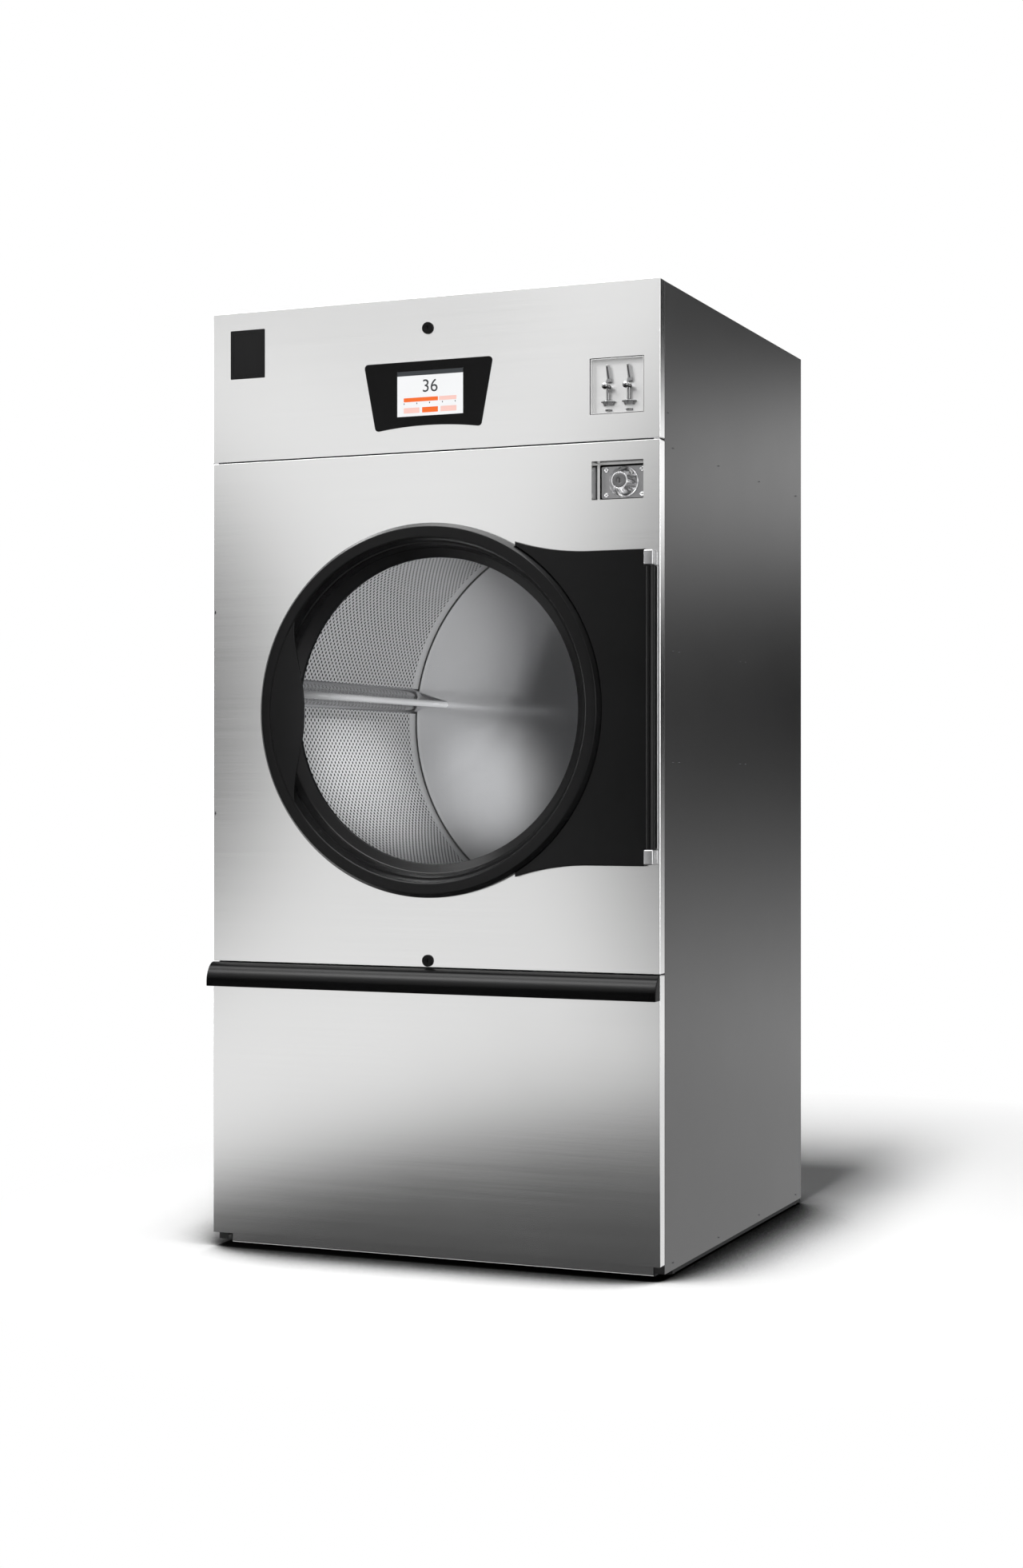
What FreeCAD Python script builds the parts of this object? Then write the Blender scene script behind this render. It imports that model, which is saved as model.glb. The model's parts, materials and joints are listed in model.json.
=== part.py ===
import FreeCAD, Part
import math
import os

V = FreeCAD.Vector

# All sizes are in millimetres.
# X runs to the right, Y from the front sheet into the cabinet, Z up from the floor.
# The finished solids are moved along Y so that the origin lies under the middle of the machine.

# Driving sizes of the machine
DRUM_RADIUS = 457.0
DRUM_DEPTH = 840.0
DOOR_OPENING_RADIUS = 341.0
DRAWER_HEIGHT = 562.6
CONTROL_HEIGHT = 307.0
SHEET = 1.5
FLANGE = 25.0
DRUM_SIDE_ROOM = 35.0
DRUM_ROOM_BELOW = 57.0
DRUM_ROOM_ABOVE = 60.0
RUNNING_GAP = 0.3
BEARING_GAP = 0.05
SEAT_GAP = 0.02
OVERCUT = 1.0  # how far a cut runs past the faces that it opens

# Heights of the front, from the floor up
FOOT_HEIGHT = 4.0
SIDE_BOTTOM = 12.0
DRAWER_BOTTOM = 29.4
DRAWER_TOP = DRAWER_BOTTOM + DRAWER_HEIGHT
DRAWER_SEAM = 2.0
FRONT_BOTTOM = DRAWER_TOP + DRAWER_SEAM
DRUM_Z = FRONT_BOTTOM + DRUM_ROOM_BELOW + DRUM_RADIUS
FRONT_TOP = DRUM_Z + DRUM_RADIUS + DRUM_ROOM_ABOVE
CONTROL_SEAM = 4.0
CONTROL_BOTTOM = FRONT_TOP + CONTROL_SEAM
CONTROL_TOP = CONTROL_BOTTOM + CONTROL_HEIGHT
ROOF_DROP = 2.0
ROOF_TOP = CONTROL_TOP - ROOF_DROP

# Width, and depths from the front sheet back
HALF_WIDTH = DRUM_RADIUS + DRUM_SIDE_ROOM
SIDE_GAP = 0.5
SIDE_FRONT = FLANGE + SIDE_GAP
SIDE_RETURN = 20.0
BULKHEAD_FRONT = 60.0
BULKHEAD = 2.0
SEAL_DEPTH = 16.0
DRUM_FRONT = BULKHEAD_FRONT + BULKHEAD + SEAL_DEPTH
DRUM_BACK = DRUM_FRONT + DRUM_DEPTH
DRUM_BACK_SHEET = 2.0
HUB_FLANGE = 12.0
HUB_RADIUS = 140.0
HUB_ROOM = 6.0
REAR_BULKHEAD = DRUM_BACK + DRUM_BACK_SHEET + HUB_FLANGE + HUB_ROOM
REAR_BULKHEAD_PLATE = 4.0
REAR_ROOM = 36.0
SIDE_BACK = REAR_BULKHEAD + REAR_BULKHEAD_PLATE + REAR_ROOM
REAR_PANEL_BACK = SIDE_BACK - SHEET
REAR_PANEL_FRONT = REAR_PANEL_BACK - SHEET

# Base frame and feet
TOE_DEPTH = 37.0
TOE_INSET = 25.0
TOE_LENGTH = 40.0
BASE_WALL = 3.0
BASE_HEIGHT = 60.0
BASE_TOP = FOOT_HEIGHT + BASE_HEIGHT
BASE_LEDGE = 40.0
FOOT_RADIUS = 17.0
FOOT_STUD = 6.0
FOOT_STUD_LENGTH = 36.0
FOOT_NUT = 10.0
FOOT_ROOM = 2.0
FOOT_X = HALF_WIDTH - SHEET - BASE_WALL - FOOT_RADIUS - FOOT_ROOM
FOOT_FRONT = TOE_DEPTH + TOE_LENGTH + BASE_WALL + FOOT_RADIUS + FOOT_ROOM
FOOT_REAR = REAR_PANEL_FRONT - BASE_WALL - FOOT_RADIUS - FOOT_ROOM

# Drum housing: an arched wrapper between two bulkheads
HOUSING_GAP = 20.0
HOUSING_INNER = DRUM_RADIUS + SHEET + HOUSING_GAP
HOUSING_OUTER = HOUSING_INNER + SHEET
HOUSING_FLOOR_GAP = 11.0
HOUSING_BOTTOM = DRUM_Z - DRUM_RADIUS - HOUSING_FLOOR_GAP
AIR_HOLE_HALF_WIDTH = 300.0
AIR_HOLE_FRONT = 120.0
COLLAR_WALL = 2.0
COLLAR_FLANGE = 31.0
COLLAR_REACH = 6.0
COLLAR_BACK = DRUM_FRONT + COLLAR_REACH
PANEL_HOLE_MARGIN = 11.0
PANEL_HOLE_RADIUS = DOOR_OPENING_RADIUS + PANEL_HOLE_MARGIN
DRUM_MOUTH_MARGIN = 17.0
DRUM_MOUTH_RADIUS = DOOR_OPENING_RADIUS + DRUM_MOUTH_MARGIN
SEAL_MARGIN = 6.0
SEAL_INNER = DRUM_MOUTH_RADIUS + SEAL_MARGIN
SEAL_WIDTH = 30.0

# Lifters inside the drum
LIFTER_COUNT = 3
LIFTER_FIRST_ANGLE = 173.4
LIFTER_HEIGHT = 85.0
LIFTER_CROWN = 9.0
LIFTER_HALF_BASE = 30.0
LIFTER_HALF_TOP = 8.5
LIFTER_END_ROOM = 14.0

# Drum shaft, its bearings and the two belt stages
SHAFT_RADIUS = 30.0
BEARING_WALL = 17.0
BEARING_LENGTH = 20.0
HOUSING_WALL = 13.0
HOUSING_LENGTH = 120.0
HOUSING_FLANGE_RADIUS = 110.0
HOUSING_FLANGE = 12.0
REAR_HOLE_ROOM = 15.0
PULLEY_WIDTH = 28.0
PULLEY_RIM = 12.0
PULLEY_WEB = 6.0
DRUM_PULLEY_RADIUS = 330.0
DRUM_PULLEY_HOLES = 6
JACK_SMALL_RADIUS = 40.0
JACK_LARGE_RADIUS = 150.0
MOTOR_PULLEY_RADIUS = 35.0
BELT_WIDTH = 20.0
BELT_THICKNESS = 4.0
BELT_SETBACK = 96.0
FIRST_BELT_PLANE = REAR_PANEL_BACK + BELT_SETBACK
PULLEY_SPACE = 18.0
SECOND_BELT_PLANE = FIRST_BELT_PLANE + PULLEY_WIDTH + PULLEY_SPACE
JACK_X = -200.0
JACK_DROP = 408.0
JACK_Z = DRUM_Z - JACK_DROP
JACK_SHAFT_RADIUS = 12.5
JACK_BEARING_WALL = 13.5
JACK_BEARING_LENGTH = 15.0
JACK_HOUSING_WALL = 8.0
JACK_HOUSING_LENGTH = 80.0
JACK_PLATE = 6.0
MOTOR_X = 150.0
MOTOR_DROP = 488.0
MOTOR_Z = DRUM_Z - MOTOR_DROP
MOTOR_RADIUS = 85.0
MOTOR_LENGTH = 126.0
MOTOR_PLATE = 12.0
MOTOR_SHAFT_RADIUS = 9.0
MOTOR_BORE_DEPTH = 60.0
SHAFT_END = 4.0
GUARD_HALF_WIDTH = 400.0
GUARD_DEPTH_ROOM = 50.0
GUARD_BACK = SECOND_BELT_PLANE + PULLEY_WIDTH + GUARD_DEPTH_ROOM
GUARD_TOP_ROOM = 42.0
GUARD_BOTTOM_ROOM = 55.0
GUARD_LIP = 18.0
GUARD_SLOTS = 9
GUARD_SLOT_LENGTH = 240.0
GUARD_SLOT_WIDTH = 12.0

# Blower, fan motor and exhaust
BLOWER_X = -120.0
BLOWER_Z = 330.0
BLOWER_DEPTH = 130.0
FAN_MOTOR_LENGTH = 178.0
FAN_MOTOR_ROOM = 47.0
BLOWER_BACK = REAR_PANEL_FRONT - FAN_MOTOR_ROOM - FAN_MOTOR_LENGTH
BLOWER_FRONT = BLOWER_BACK - BLOWER_DEPTH
SCROLL_RADIUS = 205.0
OUTLET_REACH = 330.0
OUTLET_HEIGHT = 210.0
INLET_RADIUS = 115.0
WHEEL_RADIUS = 165.0
WHEEL_EYE_RADIUS = 110.0
WHEEL_WIDTH = 90.0
WHEEL_BLADES = 20
WHEEL_BLADE_ANGLE = 25.0
WHEEL_BACK_ROOM = 20.0
WHEEL_SHEET = 3.0
WHEEL_HUB_RADIUS = 25.0
FAN_MOTOR_RADIUS = 75.0
FAN_SHAFT_RADIUS = 9.5
FAN_SHAFT_ROOM = 2.0
FAN_BORE_DEPTH = 70.0
DUCT_RADIUS = 101.6
DUCT_BOX_WIDTH = 220.0
DUCT_BOX_DEPTH = 140.0
COLLAR_LENGTH = 84.0
COLLAR_CLEARANCE = 2.0
DUCT_BACK = REAR_PANEL_BACK + COLLAR_CLEARANCE + COLLAR_LENGTH

# Heater above the drum, and the terminal box on the rear panel
HEATER_HALF_WIDTH = 300.0
HEATER_LENGTH = 400.0
HEATER_SETBACK = 18.0
HEATER_FRONT = DRUM_BACK - HEATER_SETBACK - HEATER_LENGTH
HEATER_HEIGHT = 290.0
HEATER_BOTTOM = DRUM_Z + HOUSING_OUTER + RUNNING_GAP
HEATER_MOUTH_INSET = 60.0
ELEMENT_RADIUS = 5.0
ELEMENT_COUNT = 6
ELEMENT_SPACING = 50.0
TERMINAL_X = 250.0
TERMINAL_WIDTH = 150.0
TERMINAL_HEIGHT = 160.0
TERMINAL_DEPTH = 64.0
TERMINAL_RISE = 15.0
TERMINAL_BOTTOM = FRONT_TOP + TERMINAL_RISE
TERMINAL_WALL = 2.0
CABLE_ENTRY_RADIUS = 14.3

# Door: a ring of revolution round the drum axis, with its glass set back inside it
RING_BACK = -3.0
RING_OVERLAP = 34.0
RING_OUTER = DOOR_OPENING_RADIUS + RING_OVERLAP
RING_FLANK = -9.0
CREST_OVERLAP = 26.0
RING_CREST = DOOR_OPENING_RADIUS + CREST_OVERLAP
RING_FRONT = -21.0
RIM_OVERLAP = 4.0
RIM_INNER = DOOR_OPENING_RADIUS + RIM_OVERLAP
SPIGOT_GAP = 6.0
SPIGOT_OUTER = DOOR_OPENING_RADIUS - SPIGOT_GAP
CONE_STEP = 12.0
CONE_INNER = DOOR_OPENING_RADIUS - CONE_STEP
CONE_BACK = 20.0
VIEW_STEP = 32.0
GLASS_VIEW = DOOR_OPENING_RADIUS - VIEW_STEP
GLASS_FRONT = 36.0
GLASS_THICKNESS = 6.0
GLASS_LEDGE = 14.0
RING_LIP = 33.0
BEZEL_BACK = 50.0
BEZEL_STEP = 3.0
BEZEL_INNER = GLASS_VIEW + BEZEL_STEP
GASKET_MARGIN = 1.0
GASKET_INNER = PANEL_HOLE_RADIUS + GASKET_MARGIN
GASKET_WIDTH = 17.0
MAGNET_HEIGHT = 40.0
MAGNET_WIDTH = 14.0
MAGNET_DEPTH = 5.0

# Door hinge on the right of the front panel
HINGE_INSET = 16.0
HINGE_X = HALF_WIDTH - HINGE_INSET
HINGE_Y = -13.0
BARREL_RADIUS = 9.0
PIN_RADIUS = 4.0
BLOCK_HALF_WIDTH = 9.5
BLOCK_FRONT = -25.5
BLOCK_HEIGHT = 29.0
BLOCK_OFFSET = 273.6
BLOCK_CORNER = 2.0
BARREL_END_GAP = 1.0
PIN_IN_BARREL = 16.0
LEAF_WIDTH = 9.5
LEAF_DEPTH = 2.0
PLATE_FRONT = -12.0
PLATE_HALF_HEIGHT = 306.0
PLATE_SWEEP_RADIUS = 520.0
PLATE_STRAIGHT = 126.0
PLATE_LENGTH = 283.0
PLATE_SWEEP_X = HINGE_X - PLATE_STRAIGHT
PLATE_TIP_X = HINGE_X - PLATE_LENGTH
PLATE_NOTCH = 17.0

# Door pull: a wing-shaped plate across the left of the ring
PULL_HALF_HEIGHT = 186.0
PULL_BULGE_X = 74.0
PULL_WAIST_X = 51.0
PULL_WAIST_Z = 140.0
PULL_THICKNESS = 5.0
PULL_EDGE_GAP = 0.3

# Control panel fittings
TILT_Y = 1.0
TILT_Z = FRONT_TOP + CONTROL_SEAM / 2
TILT_PIN_RADIUS = 0.9
TILT_KNUCKLE_RADIUS = 1.75
TILT_KNUCKLE_LENGTH = 12.0
TILT_END = 1.0
BADGE_WIDTH = 80.0
BADGE_HEIGHT = 100.5
BADGE_INSET = 42.0
BADGE_DROP = 37.0
BADGE_THICKNESS = 1.2
GLASS_TOP_HALF = 142.0
GLASS_BOTTOM_HALF = 116.0
GLASS_RISE = 42.0
GLASS_HEIGHT = 137.5
GLASS_BOTTOM_Z = CONTROL_BOTTOM + GLASS_RISE
GLASS_TOP_Z = GLASS_BOTTOM_Z + GLASS_HEIGHT
GLASS_ARCH = 8.5
GLASS_CORNER = 8.0
GLASS_PROUD = 1.5
SCREEN_X = 5.0
SCREEN_WIDTH = 145.0
SCREEN_HEIGHT = 90.4
SCREEN_RISE = 27.6
SCREEN_BOTTOM = GLASS_BOTTOM_Z + SCREEN_RISE
SCREEN_DEPTH = 14.0
SCREEN_RECESS = 0.4

# Coin plate: two mechanisms side by side in a shallow recess
COIN_INSET = 89.3
COIN_X = HALF_WIDTH - COIN_INSET
COIN_WIDTH = 106.5
COIN_HEIGHT = 104.0
COIN_RISE = 53.0
COIN_BOTTOM = CONTROL_BOTTOM + COIN_RISE
COIN_RECESS = 14.0
COIN_CORNER = 5.0
COIN_PITCH = 43.0
SLOT_RISE = 75.0
SLOT_Z = COIN_BOTTOM + SLOT_RISE
SLOT_BLOCK_WIDTH = 15.0
SLOT_BLOCK_HEIGHT = 38.0
SLOT_BLOCK_DEPTH = 9.0
SLOT_LENGTH = 27.0
SLOT_WIDTH = 3.2
POST_WIDTH = 5.0
POST_RISE = 26.0
POST_BOTTOM = COIN_BOTTOM + POST_RISE
POST_HEIGHT = 20.0
POST_DEPTH = 8.0
CUP_WIDTH = 30.0
CUP_RISE = 4.0
CUP_BOTTOM = COIN_BOTTOM + CUP_RISE
CUP_HEIGHT = 19.0
CUP_DEPTH = 17.0
CUP_WALL = 1.5
BUTTON_RISE = 51.0
BUTTON_Z = COIN_BOTTOM + BUTTON_RISE
BUTTON_RADIUS = 6.75
BUTTON_STEM_RADIUS = 3.0
BUTTON_HOLE_GAP = 0.3
BUTTON_Y = -8.0
BUTTON_TRAVEL = 5.0
BUTTON_STEM_BACK = 40.0
ACCEPTOR_WIDTH = 38.0
ACCEPTOR_HEIGHT = 96.0
ACCEPTOR_DEPTH = 92.0

# Coin vault behind the front panel, and the box that slides out of it
VAULT_INSET = 88.0
VAULT_DROP = 74.3
VAULT_X = HALF_WIDTH - VAULT_INSET
VAULT_Z = FRONT_TOP - VAULT_DROP
VAULT_HALF_WIDTH = 53.5
VAULT_HALF_HEIGHT = 37.7
VAULT_CORNER = 6.0
VAULT_STEP = 6.0
VAULT_STEP_Y = 23.0
VAULT_WALL = 3.0
VAULT_BACK = 260.0
BOX_GAP = 0.4
BOX_PLATE_FRONT = 39.0
BOX_PLATE = 2.0
BOX_WALL = 1.2
BOX_DIVIDER_Y = 52.0
BOX_BACK = 240.0
BOX_HEADROOM = 5.0
BOX_SIDE_STEP = 1.0
BOSS_ROOM = 0.95
BOSS_BASE_RADIUS = VAULT_HALF_HEIGHT - VAULT_STEP - BOSS_ROOM
BOSS_TOP_RADIUS = 16.5
BOSS_HEIGHT = 29.0
VAULT_LOCK_RADIUS = 14.0
VAULT_LOCK_STEM = 6.0
BOLT_INSET_X = 16.5
BOLT_INSET_Z = 13.2
BOLT_X = VAULT_HALF_WIDTH - BOLT_INSET_X
BOLT_Z = VAULT_HALF_HEIGHT - BOLT_INSET_Z
BOLT_HEAD_RADIUS = 5.2
BOLT_HEAD_HEIGHT = 4.0
BOLT_SHANK_RADIUS = 2.5
CAM_THICKNESS = 3.0
CAM_HALF_WIDTH = 6.0
CAM_ROOM = 1.0
CAM_CATCH = 4.3
VAULT_CAM_LENGTH = VAULT_HALF_HEIGHT - VAULT_STEP + CAM_CATCH
VAULT_CAM_Y = 44.0
COIN_DROP_FRONT = 120.0
COIN_DROP_LENGTH = 60.0
COIN_DROP_HALF_WIDTH = 36.0

# Locks of the control panel and the lint drawer
LOCK_FACE_RADIUS = 12.0
LOCK_FACE_FRONT = -4.0
LOCK_BODY_RADIUS = 9.0
LOCK_HOLE_GAP = 0.3
LOCK_CAM_LENGTH = 30.0
LOCK_CAM_Y = 30.0
KEY_SLOT_LENGTH = 9.0
KEY_SLOT_WIDTH = 2.0
KEY_SLOT_DEPTH = 2.5
CONTROL_LOCK_DROP = 62.5
LINT_LOCK_RISE = 13.0
ROOF_LIP_RISE = 22.0
CONTROL_LOCK_Z = CONTROL_TOP - CONTROL_LOCK_DROP
LINT_LOCK_Z = FRONT_BOTTOM + LINT_LOCK_RISE
ROOF_LIP_BOTTOM = CONTROL_LOCK_Z + ROOF_LIP_RISE

# Lint drawer
DRAWER_SIDE_ROOM = 50.5
DRAWER_BACK_ROOM = 20.0
DRAWER_TRAY_DEPTH = 172.0
DRAWER_WALL_DROP = 7.0
DRAWER_HALF_WIDTH = HALF_WIDTH - DRAWER_SIDE_ROOM
DRAWER_BACK = BLOWER_FRONT - DRAWER_BACK_ROOM
DRAWER_FLOOR = DRAWER_TOP - DRAWER_TRAY_DEPTH
DRAWER_WALL_TOP = DRAWER_TOP - DRAWER_WALL_DROP
DRAWER_WALL_BOTTOM = 90.0
DRAWER_SKID_WIDTH = 24.0
SCREEN_PLATE = 3.0
RUNNER_TOP = 100.0
RUNNER_THICKNESS = 4.0
RUNNER_FRONT = 40.0
RUNNER_END_ROOM = 40.0
RUNNER_BACK = DRAWER_BACK + RUNNER_END_ROOM
RUNNER_OVERLAP = 20.0
RUNNER_WEB = 30.0
HANDLE_PROUD = 29.0
HANDLE_HEIGHT = 49.0
HANDLE_WALL = 4.0
HANDLE_BACK_WALL = 3.0
HANDLE_LIP = 5.0
HANDLE_FACE = 7.0
HANDLE_CAP = 12.0

# Screws in the side, top and front sheets
SCREW_HEAD_RADIUS = 6.0
SCREW_HEAD_HEIGHT = 2.4
SCREW_RIM = 0.8
SCREW_SHANK_RADIUS = 2.0
SCREW_LENGTH = 7.0
SCREW_HOLE_GAP = 0.3
SCREW_REAR_INSET = 46.0
SCREW_REAR = SIDE_BACK - SCREW_REAR_INSET
BASE_SCREW_RISE = 10.0
BASE_SCREW_Z = SIDE_BOTTOM + BASE_SCREW_RISE
SCREW_ROW = (75.0, 363.0, 648.0, SCREW_REAR)
SCREW_PAIR = (75.0, 112.0, 511.0, 548.0)
SIDE_SCREWS = (
    [(45.0, CONTROL_TOP - 84.0), (45.0, CONTROL_BOTTOM + 48.0)]
    + [(y, FRONT_TOP - 13.0) for y in SCREW_ROW]
    + [(y, DRUM_Z + 107.5) for y in SCREW_PAIR]
    + [(y, DRUM_Z - 109.5) for y in SCREW_PAIR]
    + [(y, BASE_SCREW_Z) for y in SCREW_ROW]
)
TOP_SCREW_INSET = 12.0
TOP_SCREW_DEPTHS = (342.0, 665.0, SCREW_REAR)
FRONT_SCREW_INSET = 9.3
FRONT_SCREW_HEIGHTS = (DRUM_Z + 209.0, DRUM_Z - 208.0)

# The origin lies half way between the handle's front and the rear guard's back
FRONT_SHIFT = (HANDLE_PROUD - GUARD_BACK) / 2


def box(x0, x1, y0, y1, z0, z1):
    return Part.makeBox(x1 - x0, y1 - y0, z1 - z0, V(x0, y0, z0))


def rod_x(y, z, radius, x0, x1):
    return Part.makeCylinder(radius, x1 - x0, V(x0, y, z), V(1, 0, 0))


def rod_y(x, z, radius, y0, y1):
    return Part.makeCylinder(radius, y1 - y0, V(x, y0, z), V(0, 1, 0))


def rod_z(x, y, radius, z0, z1):
    return Part.makeCylinder(radius, z1 - z0, V(x, y, z0), V(0, 0, 1))


def tube_y(x, z, inner, outer, y0, y1):
    return rod_y(x, z, outer, y0, y1).cut(rod_y(x, z, inner, y0 - OVERCUT, y1 + OVERCUT))


def turned(profile, x, z):
    """Solid of revolution about the line along Y through x, z, from (radius, y) points."""
    points = [V(x + radius, y, z) for radius, y in profile]
    face = Part.Face(Part.makePolygon(points + points[:1]))
    return face.revolve(V(x, 0, z), V(0, 1, 0), 360)


def prism_y(edges, y0, y1):
    """Solid with the outline of these edges, drawn at y = 0, from y0 to y1."""
    face = Part.Face(Part.Wire(edges))
    face.translate(V(0, y0, 0))
    return face.extrude(V(0, y1 - y0, 0))


def line(a, b):
    return Part.LineSegment(a, b).toShape()


def arc(a, middle, b):
    return Part.Arc(a, middle, b).toShape()


def fillet_along_y(solid, radius):
    edges = [e for e in solid.Edges if abs(e.tangentAt(e.FirstParameter).y) > 0.999]
    return solid.makeFillet(radius, edges)


def rounded(x0, x1, y0, y1, z0, z1, corner):
    return fillet_along_y(box(x0, x1, y0, y1, z0, z1), corner)


def mirrored(solid):
    return solid.mirror(V(0, 0, 0), V(1, 0, 0))


def both_sides(solid):
    return [solid, mirrored(solid)]


def joined(solids):
    first, *others = solids
    return first.fuse(others).removeSplitter()


def save(node, solids):
    group = Part.makeCompound(solids)
    group.translate(V(0, FRONT_SHIFT, 0))
    group.exportStep(f"parts/{node}.step")


def arch(radius, bottom, y0, y1):
    """Arched slab round the drum axis: a half circle on straight legs."""
    left = V(-radius, 0, DRUM_Z)
    right = V(radius, 0, DRUM_Z)
    foot_left = V(-radius, 0, bottom)
    foot_right = V(radius, 0, bottom)
    edges = [arc(left, V(0, 0, DRUM_Z + radius), right), line(right, foot_right)]
    edges += [line(foot_right, foot_left), line(foot_left, left)]
    return prism_y(edges, y0, y1)


def front_sheet(bottom, top):
    """Sheet on the front plane with returns on all four edges."""
    outer = box(-HALF_WIDTH, HALF_WIDTH, 0, FLANGE, bottom, top)
    inner_half = HALF_WIDTH - SHEET
    return outer.cut(box(-inner_half, inner_half, SHEET, FLANGE + OVERCUT, bottom + SHEET, top - SHEET))


# Cabinet

def base_outline(inset):
    half = HALF_WIDTH - SHEET - inset
    toe = HALF_WIDTH - TOE_INSET - inset
    front = TOE_DEPTH + inset
    shoulder = TOE_DEPTH + TOE_LENGTH + inset
    back = REAR_PANEL_FRONT - inset
    return [(-toe, front), (toe, front), (toe, shoulder), (half, shoulder),
            (half, back), (-half, back), (-half, shoulder), (-toe, shoulder)]


def base_slab(inset, z0, z1):
    corners = [V(x, y, z0) for x, y in base_outline(inset)]
    return Part.Face(Part.makePolygon(corners + corners[:1])).extrude(V(0, 0, z1 - z0))


def foot_places():
    return [(x, y) for x in (-FOOT_X, FOOT_X) for y in (FOOT_FRONT, FOOT_REAR)]


def base_frame():
    frame = base_slab(0, FOOT_HEIGHT, BASE_TOP)
    frame = frame.cut(base_slab(BASE_WALL, FOOT_HEIGHT + BASE_WALL, BASE_TOP - BASE_WALL))
    frame = frame.cut(base_slab(BASE_LEDGE, FOOT_HEIGHT - OVERCUT, BASE_TOP + OVERCUT))
    for x, y in foot_places():
        frame = frame.cut(rod_z(x, y, FOOT_STUD + RUNNING_GAP, 0, FOOT_HEIGHT + BASE_WALL + OVERCUT))
    wall = HALF_WIDTH - SHEET
    for y in SCREW_ROW[1:]:
        hole = rod_x(y, BASE_SCREW_Z, SCREW_SHANK_RADIUS + SCREW_HOLE_GAP,
                     wall - BASE_WALL - OVERCUT, wall + OVERCUT)
        for side in both_sides(hole):
            frame = frame.cut(side)
    save("base_frame", [frame])


def levelling_feet():
    feet = []
    for x, y in foot_places():
        nut_z = FOOT_HEIGHT + BASE_WALL
        foot = joined([
            rod_z(x, y, FOOT_RADIUS, 0, FOOT_HEIGHT),
            rod_z(x, y, FOOT_STUD, 0, FOOT_HEIGHT + FOOT_STUD_LENGTH),
            rod_z(x, y, FOOT_NUT, nut_z, nut_z + FOOT_STUD),
        ])
        feet.append(foot)
    save("levelling_feet", feet)


def right_side():
    inner = HALF_WIDTH - SHEET
    ledge_z = ROOF_TOP - SHEET
    panel = joined([
        box(inner, HALF_WIDTH, SIDE_FRONT, SIDE_BACK, SIDE_BOTTOM, ROOF_TOP),
        box(inner - SIDE_RETURN, inner, SIDE_FRONT, SIDE_FRONT + SHEET, SIDE_BOTTOM, ledge_z),
        box(inner - SIDE_RETURN, inner, REAR_PANEL_BACK, SIDE_BACK, SIDE_BOTTOM, ledge_z),
        box(inner - SIDE_RETURN, inner, SIDE_FRONT, SIDE_BACK, ledge_z - SHEET, ledge_z),
    ])
    hole = SCREW_SHANK_RADIUS + SCREW_HOLE_GAP
    for y, z in SIDE_SCREWS:
        panel = panel.cut(rod_x(y, z, hole, HALF_WIDTH - SCREW_LENGTH - OVERCUT, HALF_WIDTH + OVERCUT))
    for y in TOP_SCREW_DEPTHS:
        panel = panel.cut(rod_z(HALF_WIDTH - TOP_SCREW_INSET, y, hole,
                                ROOF_TOP - SCREW_LENGTH - OVERCUT, ROOF_TOP + OVERCUT))
    return panel


def side_panels():
    right, left = both_sides(right_side())
    save("right_side_panel", [right])
    save("left_side_panel", [left])


def top_panel():
    half = HALF_WIDTH - SHEET
    front = SIDE_FRONT + SHEET
    roof = box(-half, half, front, SIDE_BACK, ROOF_TOP - SHEET, ROOF_TOP)
    lip_half = half - SIDE_RETURN
    lip = box(-lip_half, lip_half, front, front + SHEET, ROOF_LIP_BOTTOM, ROOF_TOP)
    roof = joined([roof, lip])
    hole = SCREW_SHANK_RADIUS + SCREW_HOLE_GAP
    for y in TOP_SCREW_DEPTHS:
        for x in (-HALF_WIDTH + TOP_SCREW_INSET, HALF_WIDTH - TOP_SCREW_INSET):
            roof = roof.cut(rod_z(x, y, hole, ROOF_TOP - SHEET - OVERCUT, ROOF_TOP + OVERCUT))
    save("top_panel", [roof])


def trunnion_hole_radius():
    return SHAFT_RADIUS + BEARING_GAP + BEARING_WALL + HOUSING_WALL + REAR_HOLE_ROOM


def duct_centre():
    """Centre of the exhaust collar, in X and Z."""
    x = BLOWER_X + OUTLET_REACH + DUCT_BOX_WIDTH / 2
    z = BLOWER_Z - SCROLL_RADIUS + OUTLET_HEIGHT / 2
    return x, z


def rear_panel():
    half = HALF_WIDTH - SHEET
    top = ROOF_TOP - 2 * SHEET
    panel = box(-half, half, REAR_PANEL_FRONT, REAR_PANEL_BACK, BASE_TOP, top)
    through = (REAR_PANEL_FRONT - OVERCUT, REAR_PANEL_BACK + OVERCUT)
    panel = panel.cut(rod_y(0, DRUM_Z, trunnion_hole_radius(), *through))
    x, z = duct_centre()
    panel = panel.cut(rod_y(x, z, DUCT_RADIUS - SHEET + RUNNING_GAP, *through))
    inset = HEATER_HALF_WIDTH - HEATER_MOUTH_INSET
    low = HEATER_BOTTOM + HEATER_MOUTH_INSET
    high = HEATER_BOTTOM + HEATER_HEIGHT - HEATER_MOUTH_INSET
    panel = panel.cut(box(-inset, TERMINAL_X - HEATER_MOUTH_INSET, *through, low, high))
    save("rear_panel", [panel])


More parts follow.
